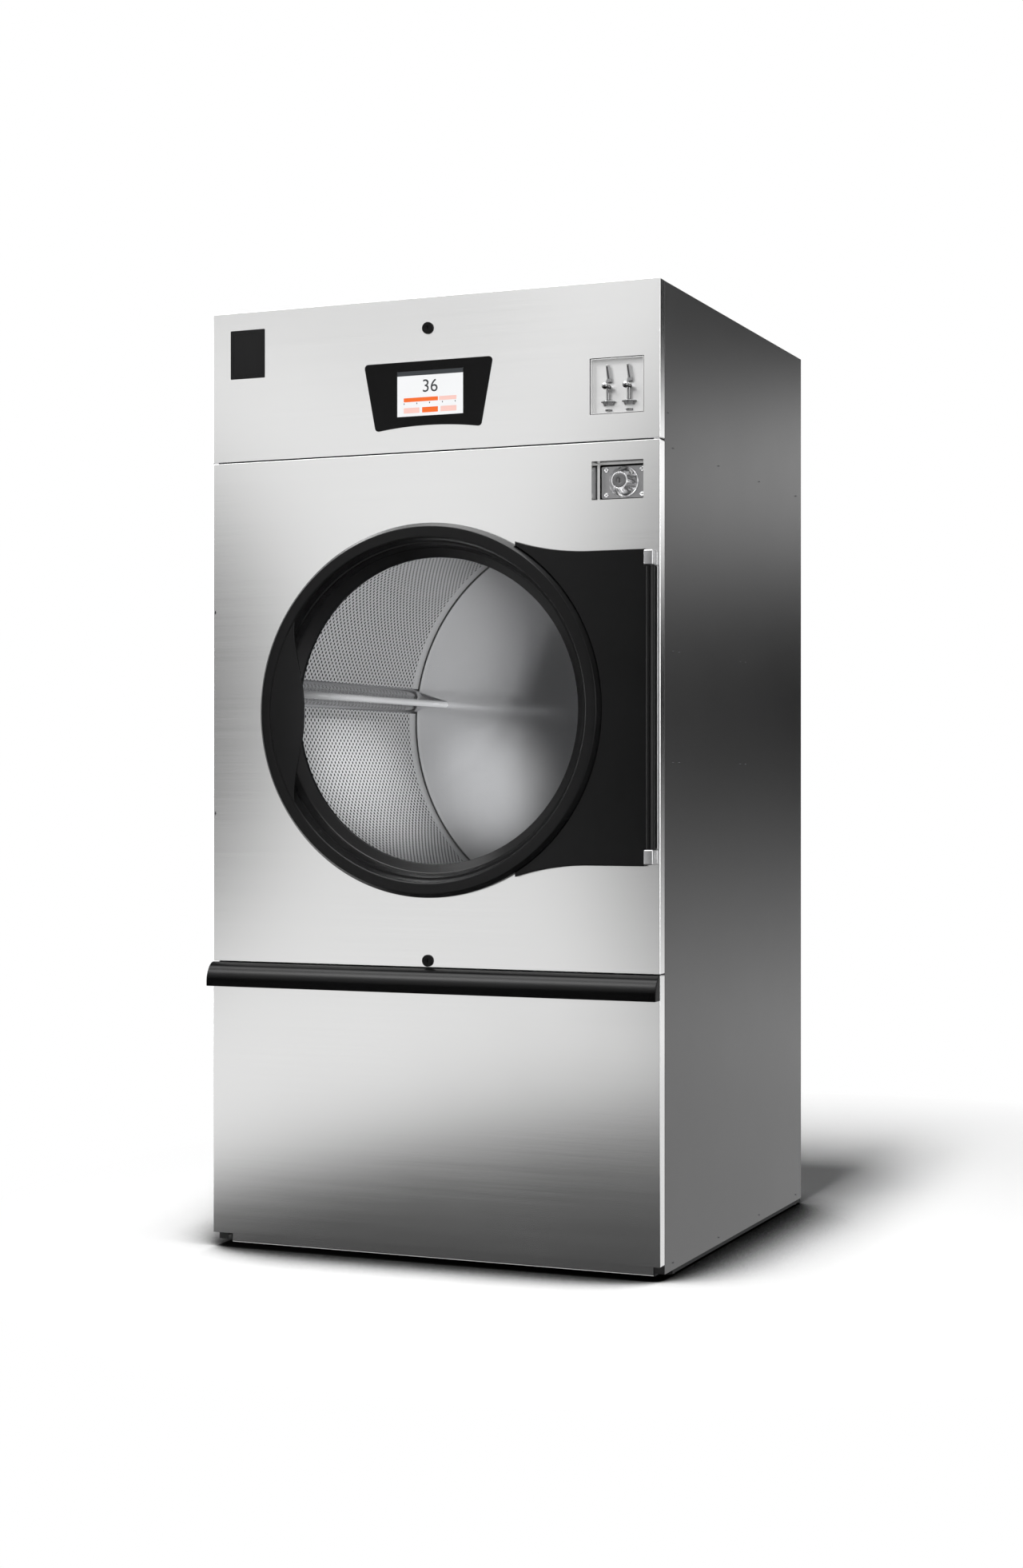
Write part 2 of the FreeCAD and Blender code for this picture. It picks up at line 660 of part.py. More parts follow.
def front_panel():
    panel = front_sheet(FRONT_BOTTOM, FRONT_TOP)
    through = (-OVERCUT, FLANGE)
    panel = panel.cut(rod_y(0, DRUM_Z, PANEL_HOLE_RADIUS, *through))
    panel = panel.cut(vault_block(0, *through))
    panel = panel.cut(rod_y(0, LINT_LOCK_Z, LOCK_BODY_RADIUS + LOCK_HOLE_GAP, *through))
    hole = SCREW_SHANK_RADIUS + SCREW_HOLE_GAP
    for z in FRONT_SCREW_HEIGHTS:
        panel = panel.cut(rod_y(-HALF_WIDTH + FRONT_SCREW_INSET, z, hole, *through))
    save("front_panel", [panel])


def screw(place, direction):
    """Domed screw with its head standing on place, pointing along direction."""
    rise = SCREW_HEAD_HEIGHT - SCREW_RIM
    crown_radius = (SCREW_HEAD_RADIUS ** 2 + rise ** 2) / (2 * rise)
    half_way = SCREW_HEAD_RADIUS / 2
    sink = crown_radius - math.sqrt(crown_radius ** 2 - half_way ** 2)
    top = V(0, 0, SCREW_HEAD_HEIGHT)
    corners = [V(SCREW_HEAD_RADIUS, 0, SCREW_RIM), V(SCREW_HEAD_RADIUS, 0, 0), V(SCREW_SHANK_RADIUS, 0, 0),
               V(SCREW_SHANK_RADIUS, 0, -SCREW_LENGTH), V(0, 0, -SCREW_LENGTH), top]
    edges = [arc(top, V(half_way, 0, SCREW_HEAD_HEIGHT - sink), corners[0])]
    edges += [line(a, b) for a, b in zip(corners, corners[1:])]
    solid = Part.Face(Part.Wire(edges)).revolve(V(0, 0, 0), V(0, 0, 1), 360)
    solid.Placement = FreeCAD.Placement(place, FreeCAD.Rotation(V(0, 0, 1), direction))
    return solid


def cabinet_screws():
    screws = []
    for side in (-1, 1):
        outward = V(side, 0, 0)
        screws += [screw(V(side * HALF_WIDTH, y, z), outward) for y, z in SIDE_SCREWS]
        x = side * (HALF_WIDTH - TOP_SCREW_INSET)
        screws += [screw(V(x, y, ROOF_TOP), V(0, 0, 1)) for y in TOP_SCREW_DEPTHS]
    x = -HALF_WIDTH + FRONT_SCREW_INSET
    screws += [screw(V(x, 0, z), V(0, -1, 0)) for z in FRONT_SCREW_HEIGHTS]
    save("cabinet_screws", screws)


# Drum housing

def drum_housing():
    front = arch(HOUSING_OUTER, HOUSING_BOTTOM, BULKHEAD_FRONT, BULKHEAD_FRONT + BULKHEAD)
    collar_hole = DOOR_OPENING_RADIUS + COLLAR_WALL + RUNNING_GAP
    front = front.cut(rod_y(0, DRUM_Z, collar_hole, 0, DRUM_FRONT))
    back_face = REAR_BULKHEAD + REAR_BULKHEAD_PLATE
    back = arch(HOUSING_OUTER, HOUSING_BOTTOM, REAR_BULKHEAD, back_face)
    back = back.cut(rod_y(0, DRUM_Z, trunnion_hole_radius(), REAR_BULKHEAD - OVERCUT, back_face + OVERCUT))
    wrapper_front = BULKHEAD_FRONT + BULKHEAD
    wrapper = arch(HOUSING_OUTER, HOUSING_BOTTOM, wrapper_front, REAR_BULKHEAD)
    wrapper = wrapper.cut(arch(HOUSING_INNER, HOUSING_BOTTOM + SHEET,
                               wrapper_front - OVERCUT, REAR_BULKHEAD + OVERCUT))
    air_hole = box(-AIR_HOLE_HALF_WIDTH, AIR_HOLE_HALF_WIDTH, AIR_HOLE_FRONT, DRAWER_BACK - DRAWER_BACK_ROOM,
                   HOUSING_BOTTOM - OVERCUT, HOUSING_BOTTOM + SHEET + OVERCUT)
    wrapper = wrapper.cut(air_hole)
    mouth = HEATER_HALF_WIDTH / 2
    heat_hole = box(-mouth, mouth, HEATER_FRONT + HEATER_MOUTH_INSET,
                    HEATER_FRONT + HEATER_LENGTH - HEATER_MOUTH_INSET, DRUM_Z, HEATER_BOTTOM)
    wrapper = wrapper.cut(heat_hole)
    save("drum_housing", [joined([front, wrapper, back])])


def opening_collar():
    wall = DOOR_OPENING_RADIUS + COLLAR_WALL
    flange = DOOR_OPENING_RADIUS + COLLAR_FLANGE
    profile = [(DOOR_OPENING_RADIUS, SHEET), (flange, SHEET), (flange, SHEET + COLLAR_WALL),
               (wall, SHEET + COLLAR_WALL), (wall, COLLAR_BACK), (DOOR_OPENING_RADIUS, COLLAR_BACK)]
    save("opening_collar", [turned(profile, 0, DRUM_Z)])


def drum_felt_seal():
    seal_back = DRUM_FRONT - RUNNING_GAP
    save("drum_felt_seal", [tube_y(0, DRUM_Z, SEAL_INNER, SEAL_INNER + SEAL_WIDTH,
                                   BULKHEAD_FRONT + BULKHEAD, seal_back)])


# Drum

def drum_cylinder():
    outer = DRUM_RADIUS + SHEET
    profile = [(DRUM_MOUTH_RADIUS, DRUM_FRONT), (outer, DRUM_FRONT), (outer, DRUM_BACK),
               (DRUM_RADIUS, DRUM_BACK), (DRUM_RADIUS, DRUM_FRONT + SHEET),
               (DRUM_MOUTH_RADIUS, DRUM_FRONT + SHEET)]
    save("drum_cylinder", [turned(profile, 0, DRUM_Z)])


def drum_back():
    save("drum_back", [rod_y(0, DRUM_Z, DRUM_RADIUS + SHEET, DRUM_BACK, DRUM_BACK + DRUM_BACK_SHEET)])


def drum_lifters():
    """Rounded ribs along the drum, drawn at the top and turned to their angles."""
    seat = DRUM_Z + DRUM_RADIUS
    tip = seat - LIFTER_HEIGHT
    flank = LIFTER_HEIGHT - LIFTER_CROWN
    a = V(-LIFTER_HALF_BASE, 0, seat)
    b = V(-LIFTER_HALF_TOP, 0, seat - flank)
    c = V(LIFTER_HALF_TOP, 0, seat - flank)
    d = V(LIFTER_HALF_BASE, 0, seat)
    edges = [line(a, b), arc(b, V(0, 0, tip), c), line(c, d), line(d, a)]
    rib = prism_y(edges, DRUM_FRONT + SHEET + LIFTER_END_ROOM, DRUM_BACK - RUNNING_GAP)
    rib = rib.common(rod_y(0, DRUM_Z, DRUM_RADIUS - SEAT_GAP, 0, DRUM_BACK))
    lifters = []
    for index in range(LIFTER_COUNT):
        angle = LIFTER_FIRST_ANGLE + index * 360 / LIFTER_COUNT
        lifter = rib.copy()
        lifter.rotate(V(0, 0, DRUM_Z), V(0, 1, 0), 90 - angle)
        lifters.append(lifter)
    save("drum_lifters", lifters)


def drum_shaft():
    hub_front = DRUM_BACK + DRUM_BACK_SHEET
    shaft_back = FIRST_BELT_PLANE + PULLEY_WIDTH + SHAFT_END
    shaft = joined([
        rod_y(0, DRUM_Z, HUB_RADIUS, hub_front, hub_front + HUB_FLANGE),
        rod_y(0, DRUM_Z, SHAFT_RADIUS, hub_front, shaft_back),
    ])
    save("drum_shaft", [shaft])


def pulley(x, z, radius, bore, y0):
    """Belt pulley: a rim, a thin web and a hub."""
    y1 = y0 + PULLEY_WIDTH
    middle = (y0 + y1) / 2
    hub = bore + HOUSING_WALL
    web_front = middle - PULLEY_WEB / 2
    web_back = middle + PULLEY_WEB / 2
    rim = radius - PULLEY_RIM
    profile = [(bore, y0), (hub, y0), (hub, web_front), (rim, web_front), (rim, y0), (radius, y0),
               (radius, y1), (rim, y1), (rim, web_back), (hub, web_back), (hub, y1), (bore, y1)]
    return turned(profile, x, z)


def drum_pulley():
    wheel = pulley(0, DRUM_Z, DRUM_PULLEY_RADIUS, SHAFT_RADIUS + SEAT_GAP, FIRST_BELT_PLANE)
    hub = SHAFT_RADIUS + HOUSING_WALL
    middle = (hub + DRUM_PULLEY_RADIUS - PULLEY_RIM) / 2
    hole = (DRUM_PULLEY_RADIUS - PULLEY_RIM - hub) / 4
    for index in range(DRUM_PULLEY_HOLES):
        angle = 2 * math.pi * index / DRUM_PULLEY_HOLES
        x = middle * math.cos(angle)
        z = DRUM_Z + middle * math.sin(angle)
        wheel = wheel.cut(rod_y(x, z, hole, FIRST_BELT_PLANE - OVERCUT,
                                FIRST_BELT_PLANE + PULLEY_WIDTH + OVERCUT))
    save("drum_pulley", [wheel])


def bearing_spans(front, length, bearing_length):
    """Front and rear bearing of a housing, each a pair of Y values."""
    back = front + length
    return [(front, front + bearing_length), (back - bearing_length, back)]


def trunnion_front():
    return REAR_BULKHEAD + REAR_BULKHEAD_PLATE


def jack_front():
    return REAR_PANEL_BACK + JACK_PLATE


def shaft_bearings():
    inner = SHAFT_RADIUS + BEARING_GAP
    rings = [tube_y(0, DRUM_Z, inner, inner + BEARING_WALL, y0, y1)
             for y0, y1 in bearing_spans(trunnion_front(), HOUSING_LENGTH, BEARING_LENGTH)]
    inner = JACK_SHAFT_RADIUS + BEARING_GAP
    rings += [tube_y(JACK_X, JACK_Z, inner, inner + JACK_BEARING_WALL, y0, y1)
              for y0, y1 in bearing_spans(jack_front(), JACK_HOUSING_LENGTH, JACK_BEARING_LENGTH)]
    save("shaft_bearings", rings)


def bearing_housings():
    front = trunnion_front()
    inner = SHAFT_RADIUS + BEARING_GAP + BEARING_WALL + SEAT_GAP
    outer = inner + HOUSING_WALL
    profile = [(inner, front), (HOUSING_FLANGE_RADIUS, front), (HOUSING_FLANGE_RADIUS, front + HOUSING_FLANGE),
               (outer, front + HOUSING_FLANGE), (outer, front + HOUSING_LENGTH),
               (inner, front + HOUSING_LENGTH)]
    trunnion = turned(profile, 0, DRUM_Z)
    front = jack_front()
    inner = JACK_SHAFT_RADIUS + BEARING_GAP + JACK_BEARING_WALL + SEAT_GAP
    outer = inner + JACK_HOUSING_WALL
    plate = outer * 2
    profile = [(inner, front - JACK_PLATE), (plate, front - JACK_PLATE), (plate, front),
               (outer, front), (outer, front + JACK_HOUSING_LENGTH), (inner, front + JACK_HOUSING_LENGTH)]
    save("bearing_housings", [trunnion, turned(profile, JACK_X, JACK_Z)])


def jackshaft():
    bore = JACK_SHAFT_RADIUS
    small = tube_y(JACK_X, JACK_Z, bore, JACK_SMALL_RADIUS, FIRST_BELT_PLANE, FIRST_BELT_PLANE + PULLEY_WIDTH)
    large = pulley(JACK_X, JACK_Z, JACK_LARGE_RADIUS, bore, SECOND_BELT_PLANE)
    shaft_back = SECOND_BELT_PLANE + PULLEY_WIDTH + SHAFT_END
    shaft = rod_y(JACK_X, JACK_Z, bore, jack_front(), shaft_back)
    save("jackshaft", [joined([shaft, small, large])])


def belt(centre_a, radius_a, centre_b, radius_b, plane):
    """Flat belt round two pulleys, standing clear of both."""
    def loop(grow):
        ax, az = centre_a
        bx, bz = centre_b
        along = math.atan2(bz - az, bx - ax)
        spread = math.acos((radius_a - radius_b) / math.hypot(bx - ax, bz - az))
        def point(centre, radius, angle):
            reach = radius + grow
            return V(centre[0] + reach * math.cos(angle), 0, centre[1] + reach * math.sin(angle))
        a1 = point(centre_a, radius_a, along + spread)
        a2 = point(centre_a, radius_a, along - spread)
        a_far = point(centre_a, radius_a, along + math.pi)
        b1 = point(centre_b, radius_b, along + spread)
        b2 = point(centre_b, radius_b, along - spread)
        b_far = point(centre_b, radius_b, along)
        return [arc(a1, a_far, a2), line(a2, b2), arc(b2, b_far, b1), line(b1, a1)]
    margin = (PULLEY_WIDTH - BELT_WIDTH) / 2
    y0 = plane + margin
    y1 = y0 + BELT_WIDTH
    outer = prism_y(loop(RUNNING_GAP + BELT_THICKNESS), y0, y1)
    return outer.cut(prism_y(loop(RUNNING_GAP), y0 - OVERCUT, y1 + OVERCUT))


def drive_belts():
    jack = (JACK_X, JACK_Z)
    first = belt((0, DRUM_Z), DRUM_PULLEY_RADIUS, jack, JACK_SMALL_RADIUS, FIRST_BELT_PLANE)
    second = belt(jack, JACK_LARGE_RADIUS, (MOTOR_X, MOTOR_Z), MOTOR_PULLEY_RADIUS, SECOND_BELT_PLANE)
    save("drive_belts", [first, second])


def motor_back():
    return REAR_PANEL_BACK + MOTOR_PLATE + MOTOR_LENGTH


def drive_motor():
    front = REAR_PANEL_BACK
    half = MOTOR_RADIUS
    motor = joined([
        box(MOTOR_X - half, MOTOR_X + half, front, front + MOTOR_PLATE, MOTOR_Z - half, MOTOR_Z + half),
        rod_y(MOTOR_X, MOTOR_Z, MOTOR_RADIUS, front + MOTOR_PLATE, motor_back()),
    ])
    bore = rod_y(MOTOR_X, MOTOR_Z, MOTOR_SHAFT_RADIUS + BEARING_GAP,
                 motor_back() - MOTOR_BORE_DEPTH, motor_back() + OVERCUT)
    save("drive_motor", [motor.cut(bore)])


def motor_pulley():
    shaft_back = SECOND_BELT_PLANE + PULLEY_WIDTH + SHAFT_END
    shaft_front = motor_back() - MOTOR_BORE_DEPTH + RUNNING_GAP
    rotor = joined([
        rod_y(MOTOR_X, MOTOR_Z, MOTOR_SHAFT_RADIUS, shaft_front, shaft_back),
        rod_y(MOTOR_X, MOTOR_Z, MOTOR_PULLEY_RADIUS, SECOND_BELT_PLANE, SECOND_BELT_PLANE + PULLEY_WIDTH),
    ])
    save("motor_pulley", [rotor])


def rear_guard():
    low = MOTOR_Z - MOTOR_RADIUS - GUARD_BOTTOM_ROOM
    high = DRUM_Z + DRUM_PULLEY_RADIUS + GUARD_TOP_ROOM
    guard = box(-GUARD_HALF_WIDTH, GUARD_HALF_WIDTH, REAR_PANEL_BACK, GUARD_BACK, low, high)
    inner = GUARD_HALF_WIDTH - SHEET
    guard = guard.cut(box(-inner, inner, REAR_PANEL_BACK - OVERCUT, GUARD_BACK - SHEET,
                          low + SHEET, high - SHEET))
    for z in (low - GUARD_LIP, high):
        lip = box(-GUARD_HALF_WIDTH, GUARD_HALF_WIDTH, REAR_PANEL_BACK, REAR_PANEL_BACK + SHEET,
                  z, z + GUARD_LIP)
        guard = guard.fuse(lip)
    spacing = (high - low) / (GUARD_SLOTS + 1)
    for index in range(GUARD_SLOTS):
        z = low + spacing * (index + 1)
        for x in (-GUARD_SLOT_LENGTH - SIDE_RETURN, SIDE_RETURN):
            guard = guard.cut(box(x, x + GUARD_SLOT_LENGTH, GUARD_BACK - SHEET - OVERCUT, GUARD_BACK + OVERCUT,
                                  z, z + GUARD_SLOT_WIDTH))
    save("rear_guard", [guard.removeSplitter()])


# Blower and exhaust

def scroll(grow, y0, y1):
    """Scroll outline of the blower with its outlet towards +X."""
    low = BLOWER_Z - SCROLL_RADIUS
    outlet = box(BLOWER_X, BLOWER_X + OUTLET_REACH, y0, y1, low - grow, low + OUTLET_HEIGHT + grow)
    return rod_y(BLOWER_X, BLOWER_Z, SCROLL_RADIUS + grow, y0, y1).fuse(outlet)


def blower_housing():
    shell = scroll(SHEET, BLOWER_FRONT, BLOWER_BACK)
    shell = shell.cut(scroll(0, BLOWER_FRONT + SHEET, BLOWER_BACK - SHEET))
    shell = shell.cut(rod_y(BLOWER_X, BLOWER_Z, INLET_RADIUS,
                            BLOWER_FRONT - OVERCUT, BLOWER_FRONT + SHEET + OVERCUT))
    shaft_hole = FAN_SHAFT_RADIUS + FAN_SHAFT_ROOM
    shell = shell.cut(rod_y(BLOWER_X, BLOWER_Z, shaft_hole,
                            BLOWER_BACK - SHEET - OVERCUT, BLOWER_BACK + OVERCUT))
    save("blower_housing", [shell.removeSplitter()])


def blower_wheel():
    back = BLOWER_BACK - SHEET - WHEEL_BACK_ROOM
    front = back - WHEEL_WIDTH
    pieces = [
        rod_y(BLOWER_X, BLOWER_Z, WHEEL_RADIUS, back - WHEEL_SHEET, back),
        tube_y(BLOWER_X, BLOWER_Z, WHEEL_EYE_RADIUS, WHEEL_RADIUS, front, front + WHEEL_SHEET),
        rod_y(BLOWER_X, BLOWER_Z, WHEEL_HUB_RADIUS, back - WHEEL_WIDTH / 2, back),
        rod_y(BLOWER_X, BLOWER_Z, FAN_SHAFT_RADIUS, back, BLOWER_BACK + FAN_BORE_DEPTH - RUNNING_GAP),
    ]
    blade = box(WHEEL_EYE_RADIUS, WHEEL_RADIUS, front, back, -WHEEL_SHEET / 2, WHEEL_SHEET / 2)
    blade.rotate(V(WHEEL_EYE_RADIUS, 0, 0), V(0, 1, 0), WHEEL_BLADE_ANGLE)
    for index in range(WHEEL_BLADES):
        copy = blade.copy()
        copy.rotate(V(0, 0, 0), V(0, 1, 0), 360 * index / WHEEL_BLADES)
        copy.translate(V(BLOWER_X, 0, BLOWER_Z))
        pieces.append(copy)
    save("blower_wheel", [joined(pieces)])


def fan_motor():
    back = BLOWER_BACK + FAN_MOTOR_LENGTH
    motor = rod_y(BLOWER_X, BLOWER_Z, FAN_MOTOR_RADIUS, BLOWER_BACK, back)
    bore = rod_y(BLOWER_X, BLOWER_Z, FAN_SHAFT_RADIUS + BEARING_GAP,
                 BLOWER_BACK - OVERCUT, BLOWER_BACK + FAN_BORE_DEPTH)
    save("fan_motor", [motor.cut(bore)])


def exhaust_duct():
    left = BLOWER_X + OUTLET_REACH
    right = left + DUCT_BOX_WIDTH
    low = BLOWER_Z - SCROLL_RADIUS
    high = low + OUTLET_HEIGHT
    back = BLOWER_FRONT + DUCT_BOX_DEPTH
    x, z = duct_centre()
    duct = box(left, right, BLOWER_FRONT, back, low - SHEET, high + SHEET)
    duct = duct.fuse(rod_y(x, z, DUCT_RADIUS - SHEET, back, DUCT_BACK))
    duct = duct.fuse(rod_y(x, z, DUCT_RADIUS, DUCT_BACK - COLLAR_LENGTH, DUCT_BACK))
    duct = duct.cut(box(left - OVERCUT, right - SHEET, BLOWER_FRONT + SHEET, back - SHEET, low, high))
    duct = duct.cut(rod_y(x, z, DUCT_RADIUS - 2 * SHEET, back - SHEET - OVERCUT, DUCT_BACK + OVERCUT))
    save("exhaust_duct", [duct.removeSplitter()])


# Heater and terminal box

def element_places():
    """Y and Z of each heating rod, in two staggered rows."""
    middle_y = HEATER_FRONT + HEATER_LENGTH / 2
    middle_z = HEATER_BOTTOM + HEATER_HEIGHT / 2
    start = -(ELEMENT_COUNT - 1) / 2
    return [(middle_y + (start + index) * ELEMENT_SPACING, middle_z + ELEMENT_SPACING * (-1) ** index / 2)
            for index in range(ELEMENT_COUNT)]


def heater_box():
    back = HEATER_FRONT + HEATER_LENGTH
    top = HEATER_BOTTOM + HEATER_HEIGHT
    shell = box(-HEATER_HALF_WIDTH, HEATER_HALF_WIDTH, HEATER_FRONT, back, HEATER_BOTTOM, top)
    inner = HEATER_HALF_WIDTH - SHEET
    shell = shell.cut(box(-inner, inner, HEATER_FRONT + SHEET, back + OVERCUT,
                          HEATER_BOTTOM + SHEET, top - SHEET))
    mouth = HEATER_HALF_WIDTH / 2
    shell = shell.cut(box(-mouth, mouth, HEATER_FRONT + HEATER_MOUTH_INSET, back - HEATER_MOUTH_INSET,
                          HEATER_BOTTOM - OVERCUT, HEATER_BOTTOM + SHEET + OVERCUT))
    for y, z in element_places():
        shell = shell.cut(rod_x(y, z, ELEMENT_RADIUS + RUNNING_GAP,
                                -HEATER_HALF_WIDTH - OVERCUT, HEATER_HALF_WIDTH + OVERCUT))
    save("heater_box", [shell])


def heater_elements():
    reach = HEATER_HALF_WIDTH + SIDE_RETURN
    save("heater_elements", [rod_x(y, z, ELEMENT_RADIUS, -reach, reach) for y, z in element_places()])


def terminal_box():
    right = TERMINAL_X + TERMINAL_WIDTH
    back = REAR_PANEL_BACK + TERMINAL_DEPTH
    top = TERMINAL_BOTTOM + TERMINAL_HEIGHT
    shell = box(TERMINAL_X, right, REAR_PANEL_BACK, back, TERMINAL_BOTTOM, top)
    shell = shell.cut(box(TERMINAL_X + TERMINAL_WALL, right - TERMINAL_WALL, REAR_PANEL_BACK - OVERCUT,
                          back - TERMINAL_WALL, TERMINAL_BOTTOM + TERMINAL_WALL, top - TERMINAL_WALL))
    entry = rod_x(REAR_PANEL_BACK + TERMINAL_DEPTH / 2, TERMINAL_BOTTOM + TERMINAL_HEIGHT / 2,
                  CABLE_ENTRY_RADIUS, right - TERMINAL_WALL - OVERCUT, right + OVERCUT)
    save("terminal_box", [shell.cut(entry)])


# Door

def magnet_block(grow):
    middle = -(RING_OUTER + GASKET_INNER) / 2
    half = MAGNET_WIDTH / 2 + grow
    height = MAGNET_HEIGHT / 2 + grow
    return box(middle - half, middle + half, RING_BACK - MAGNET_DEPTH - grow, RING_BACK,
               DRUM_Z - height, DRUM_Z + height)


def door_ring():
    ledge = GLASS_VIEW + GLASS_LEDGE
    lip_back = GLASS_FRONT + GLASS_THICKNESS
    profile = [(RING_OUTER, RING_BACK), (RING_OUTER, RING_FLANK), (RING_CREST, RING_FRONT),
               (RIM_INNER, RING_FRONT), (CONE_INNER, CONE_BACK), (GLASS_VIEW, RING_LIP),
               (GLASS_VIEW, GLASS_FRONT), (ledge, GLASS_FRONT), (ledge, lip_back),
               (SPIGOT_OUTER, lip_back), (SPIGOT_OUTER, RING_BACK)]
    save("door_ring", [turned(profile, 0, DRUM_Z).cut(magnet_block(RUNNING_GAP))])


def door_glass():
    radius = GLASS_VIEW + GLASS_LEDGE - RUNNING_GAP
    save("door_glass", [rod_y(0, DRUM_Z, radius, GLASS_FRONT, GLASS_FRONT + GLASS_THICKNESS)])


def door_inner_bezel():
    front = GLASS_FRONT + GLASS_THICKNESS
    save("door_inner_bezel", [tube_y(0, DRUM_Z, BEZEL_INNER, SPIGOT_OUTER, front, BEZEL_BACK)])


def door_gasket():
    save("door_gasket", [tube_y(0, DRUM_Z, GASKET_INNER, GASKET_INNER + GASKET_WIDTH, RING_BACK, -RUNNING_GAP)])


def door_magnet():
    save("door_magnet", [magnet_block(0)])


def barrel_span():
    """Bottom and top of the door's hinge barrel, between the two blocks."""
    reach = BLOCK_OFFSET - BARREL_END_GAP
    return DRUM_Z - reach, DRUM_Z + reach


def door_hinge_plate():
    """Plate from the ring to the hinge, swept up to the ring at its top and bottom edges."""
    rise = PLATE_SWEEP_RADIUS - math.sqrt(PLATE_SWEEP_RADIUS ** 2 - (PLATE_SWEEP_X - PLATE_TIP_X) ** 2)
    half = PLATE_SWEEP_X - PLATE_TIP_X
    middle_rise = PLATE_SWEEP_RADIUS - math.sqrt(PLATE_SWEEP_RADIUS ** 2 - (half / 2) ** 2)
    def point(x, height, sign):
        return V(x, 0, DRUM_Z + sign * height)
    top = [point(x, h, 1) for x, h in ((PLATE_TIP_X, PLATE_HALF_HEIGHT + rise),
                                       ((PLATE_TIP_X + PLATE_SWEEP_X) / 2, PLATE_HALF_HEIGHT + middle_rise),
                                       (PLATE_SWEEP_X, PLATE_HALF_HEIGHT), (HINGE_X, PLATE_HALF_HEIGHT))]
    bottom = [point(p.x, p.z - DRUM_Z, -1) for p in top]
    edges = [arc(*top[:3]), line(top[2], top[3]), line(top[3], bottom[3]), line(bottom[3], bottom[2]),
             arc(bottom[2], bottom[1], bottom[0]), line(bottom[0], top[0])]
    plate = prism_y(edges, PLATE_FRONT, RING_BACK)
    plate = plate.cut(rod_y(0, DRUM_Z, RING_OUTER + SEAT_GAP, PLATE_FRONT - OVERCUT, RING_BACK + OVERCUT))
    low, high = barrel_span()
    for z0, z1 in ((high, high + BLOCK_OFFSET), (low - BLOCK_OFFSET, low)):
        plate = plate.cut(box(HINGE_X - PLATE_NOTCH, HINGE_X + PLATE_NOTCH,
                              PLATE_FRONT - OVERCUT, RING_BACK + OVERCUT, z0, z1))
    plate = plate.fuse(rod_z(HINGE_X, HINGE_Y, BARREL_RADIUS, low, high)).removeSplitter()
    pin_hole = PIN_IN_BARREL + OVERCUT
    for z0, z1 in ((high - pin_hole, high + OVERCUT), (low - OVERCUT, low + pin_hole)):
        plate = plate.cut(rod_z(HINGE_X, HINGE_Y, PIN_RADIUS + BEARING_GAP, z0, z1))
    save("door_hinge_plate", [plate])


def door_hinge_blocks():
    blocks = []
    for bottom in (DRUM_Z + BLOCK_OFFSET, DRUM_Z - BLOCK_OFFSET - BLOCK_HEIGHT):
        top = bottom + BLOCK_HEIGHT
        block = box(HINGE_X - BLOCK_HALF_WIDTH, HINGE_X + BLOCK_HALF_WIDTH, BLOCK_FRONT, 0, bottom, top)
        upright = [e for e in block.Edges if abs(e.tangentAt(e.FirstParameter).z) > 0.9]
        block = block.makeFillet(BLOCK_CORNER, [e for e in upright if e.CenterOfMass.y < HINGE_Y])
        pin_hole = rod_z(HINGE_X, HINGE_Y, PIN_RADIUS + SEAT_GAP, bottom - OVERCUT, top + OVERCUT)
        blocks.append(block.cut(pin_hole))
    leaf_right = HINGE_X + BLOCK_HALF_WIDTH + BLOCK_CORNER
    low, high = barrel_span()
    blocks.append(box(leaf_right - LEAF_WIDTH, leaf_right, -LEAF_DEPTH, 0, low, high))
    save("door_hinge_blocks", blocks)


def hinge_pins():
    low, high = barrel_span()
    pins = [
        rod_z(HINGE_X, HINGE_Y, PIN_RADIUS, high - PIN_IN_BARREL, DRUM_Z + BLOCK_OFFSET + BLOCK_HEIGHT),
        rod_z(HINGE_X, HINGE_Y, PIN_RADIUS, DRUM_Z - BLOCK_OFFSET - BLOCK_HEIGHT, low + PIN_IN_BARREL),
    ]
    outer = HALF_WIDTH - TILT_END
    middle = outer - TILT_KNUCKLE_LENGTH
    inner = middle - TILT_KNUCKLE_LENGTH
    tilt_pin = joined([
        rod_x(TILT_Y, TILT_Z, TILT_PIN_RADIUS, inner, outer),
        rod_x(TILT_Y, TILT_Z, TILT_KNUCKLE_RADIUS, inner, middle),
        box(inner, middle, TILT_Y - TILT_PIN_RADIUS, TILT_Y + TILT_PIN_RADIUS, FRONT_TOP, TILT_Z),
    ])
    save("hinge_pins", pins + both_sides(tilt_pin))


def door_pull():
    """Wing-shaped plate: its left edge follows the rim, its right edge bulges towards the glass."""
    edge = RIM_INNER - (RIM_INNER - CONE_INNER) * PULL_THICKNESS / (CONE_BACK - RING_FRONT) - PULL_EDGE_GAP
    tip = -math.sqrt(edge ** 2 - PULL_HALF_HEIGHT ** 2)
    top = V(tip, 0, DRUM_Z + PULL_HALF_HEIGHT)
    bottom = V(tip, 0, DRUM_Z - PULL_HALF_HEIGHT)
    waist_top = V(-edge + PULL_WAIST_X, 0, DRUM_Z + PULL_WAIST_Z)
    waist_bottom = V(-edge + PULL_WAIST_X, 0, DRUM_Z - PULL_WAIST_Z)
    bulge = V(-edge + PULL_BULGE_X, 0, DRUM_Z)
    inner_edge = Part.BSplineCurve()
    inner_edge.interpolate([top, waist_top, bulge, waist_bottom, bottom])
    edges = [arc(bottom, V(-edge, 0, DRUM_Z), top), inner_edge.toShape()]
    save("door_pull", [prism_y(edges, RING_FRONT, RING_FRONT + PULL_THICKNESS)])


# Control panel

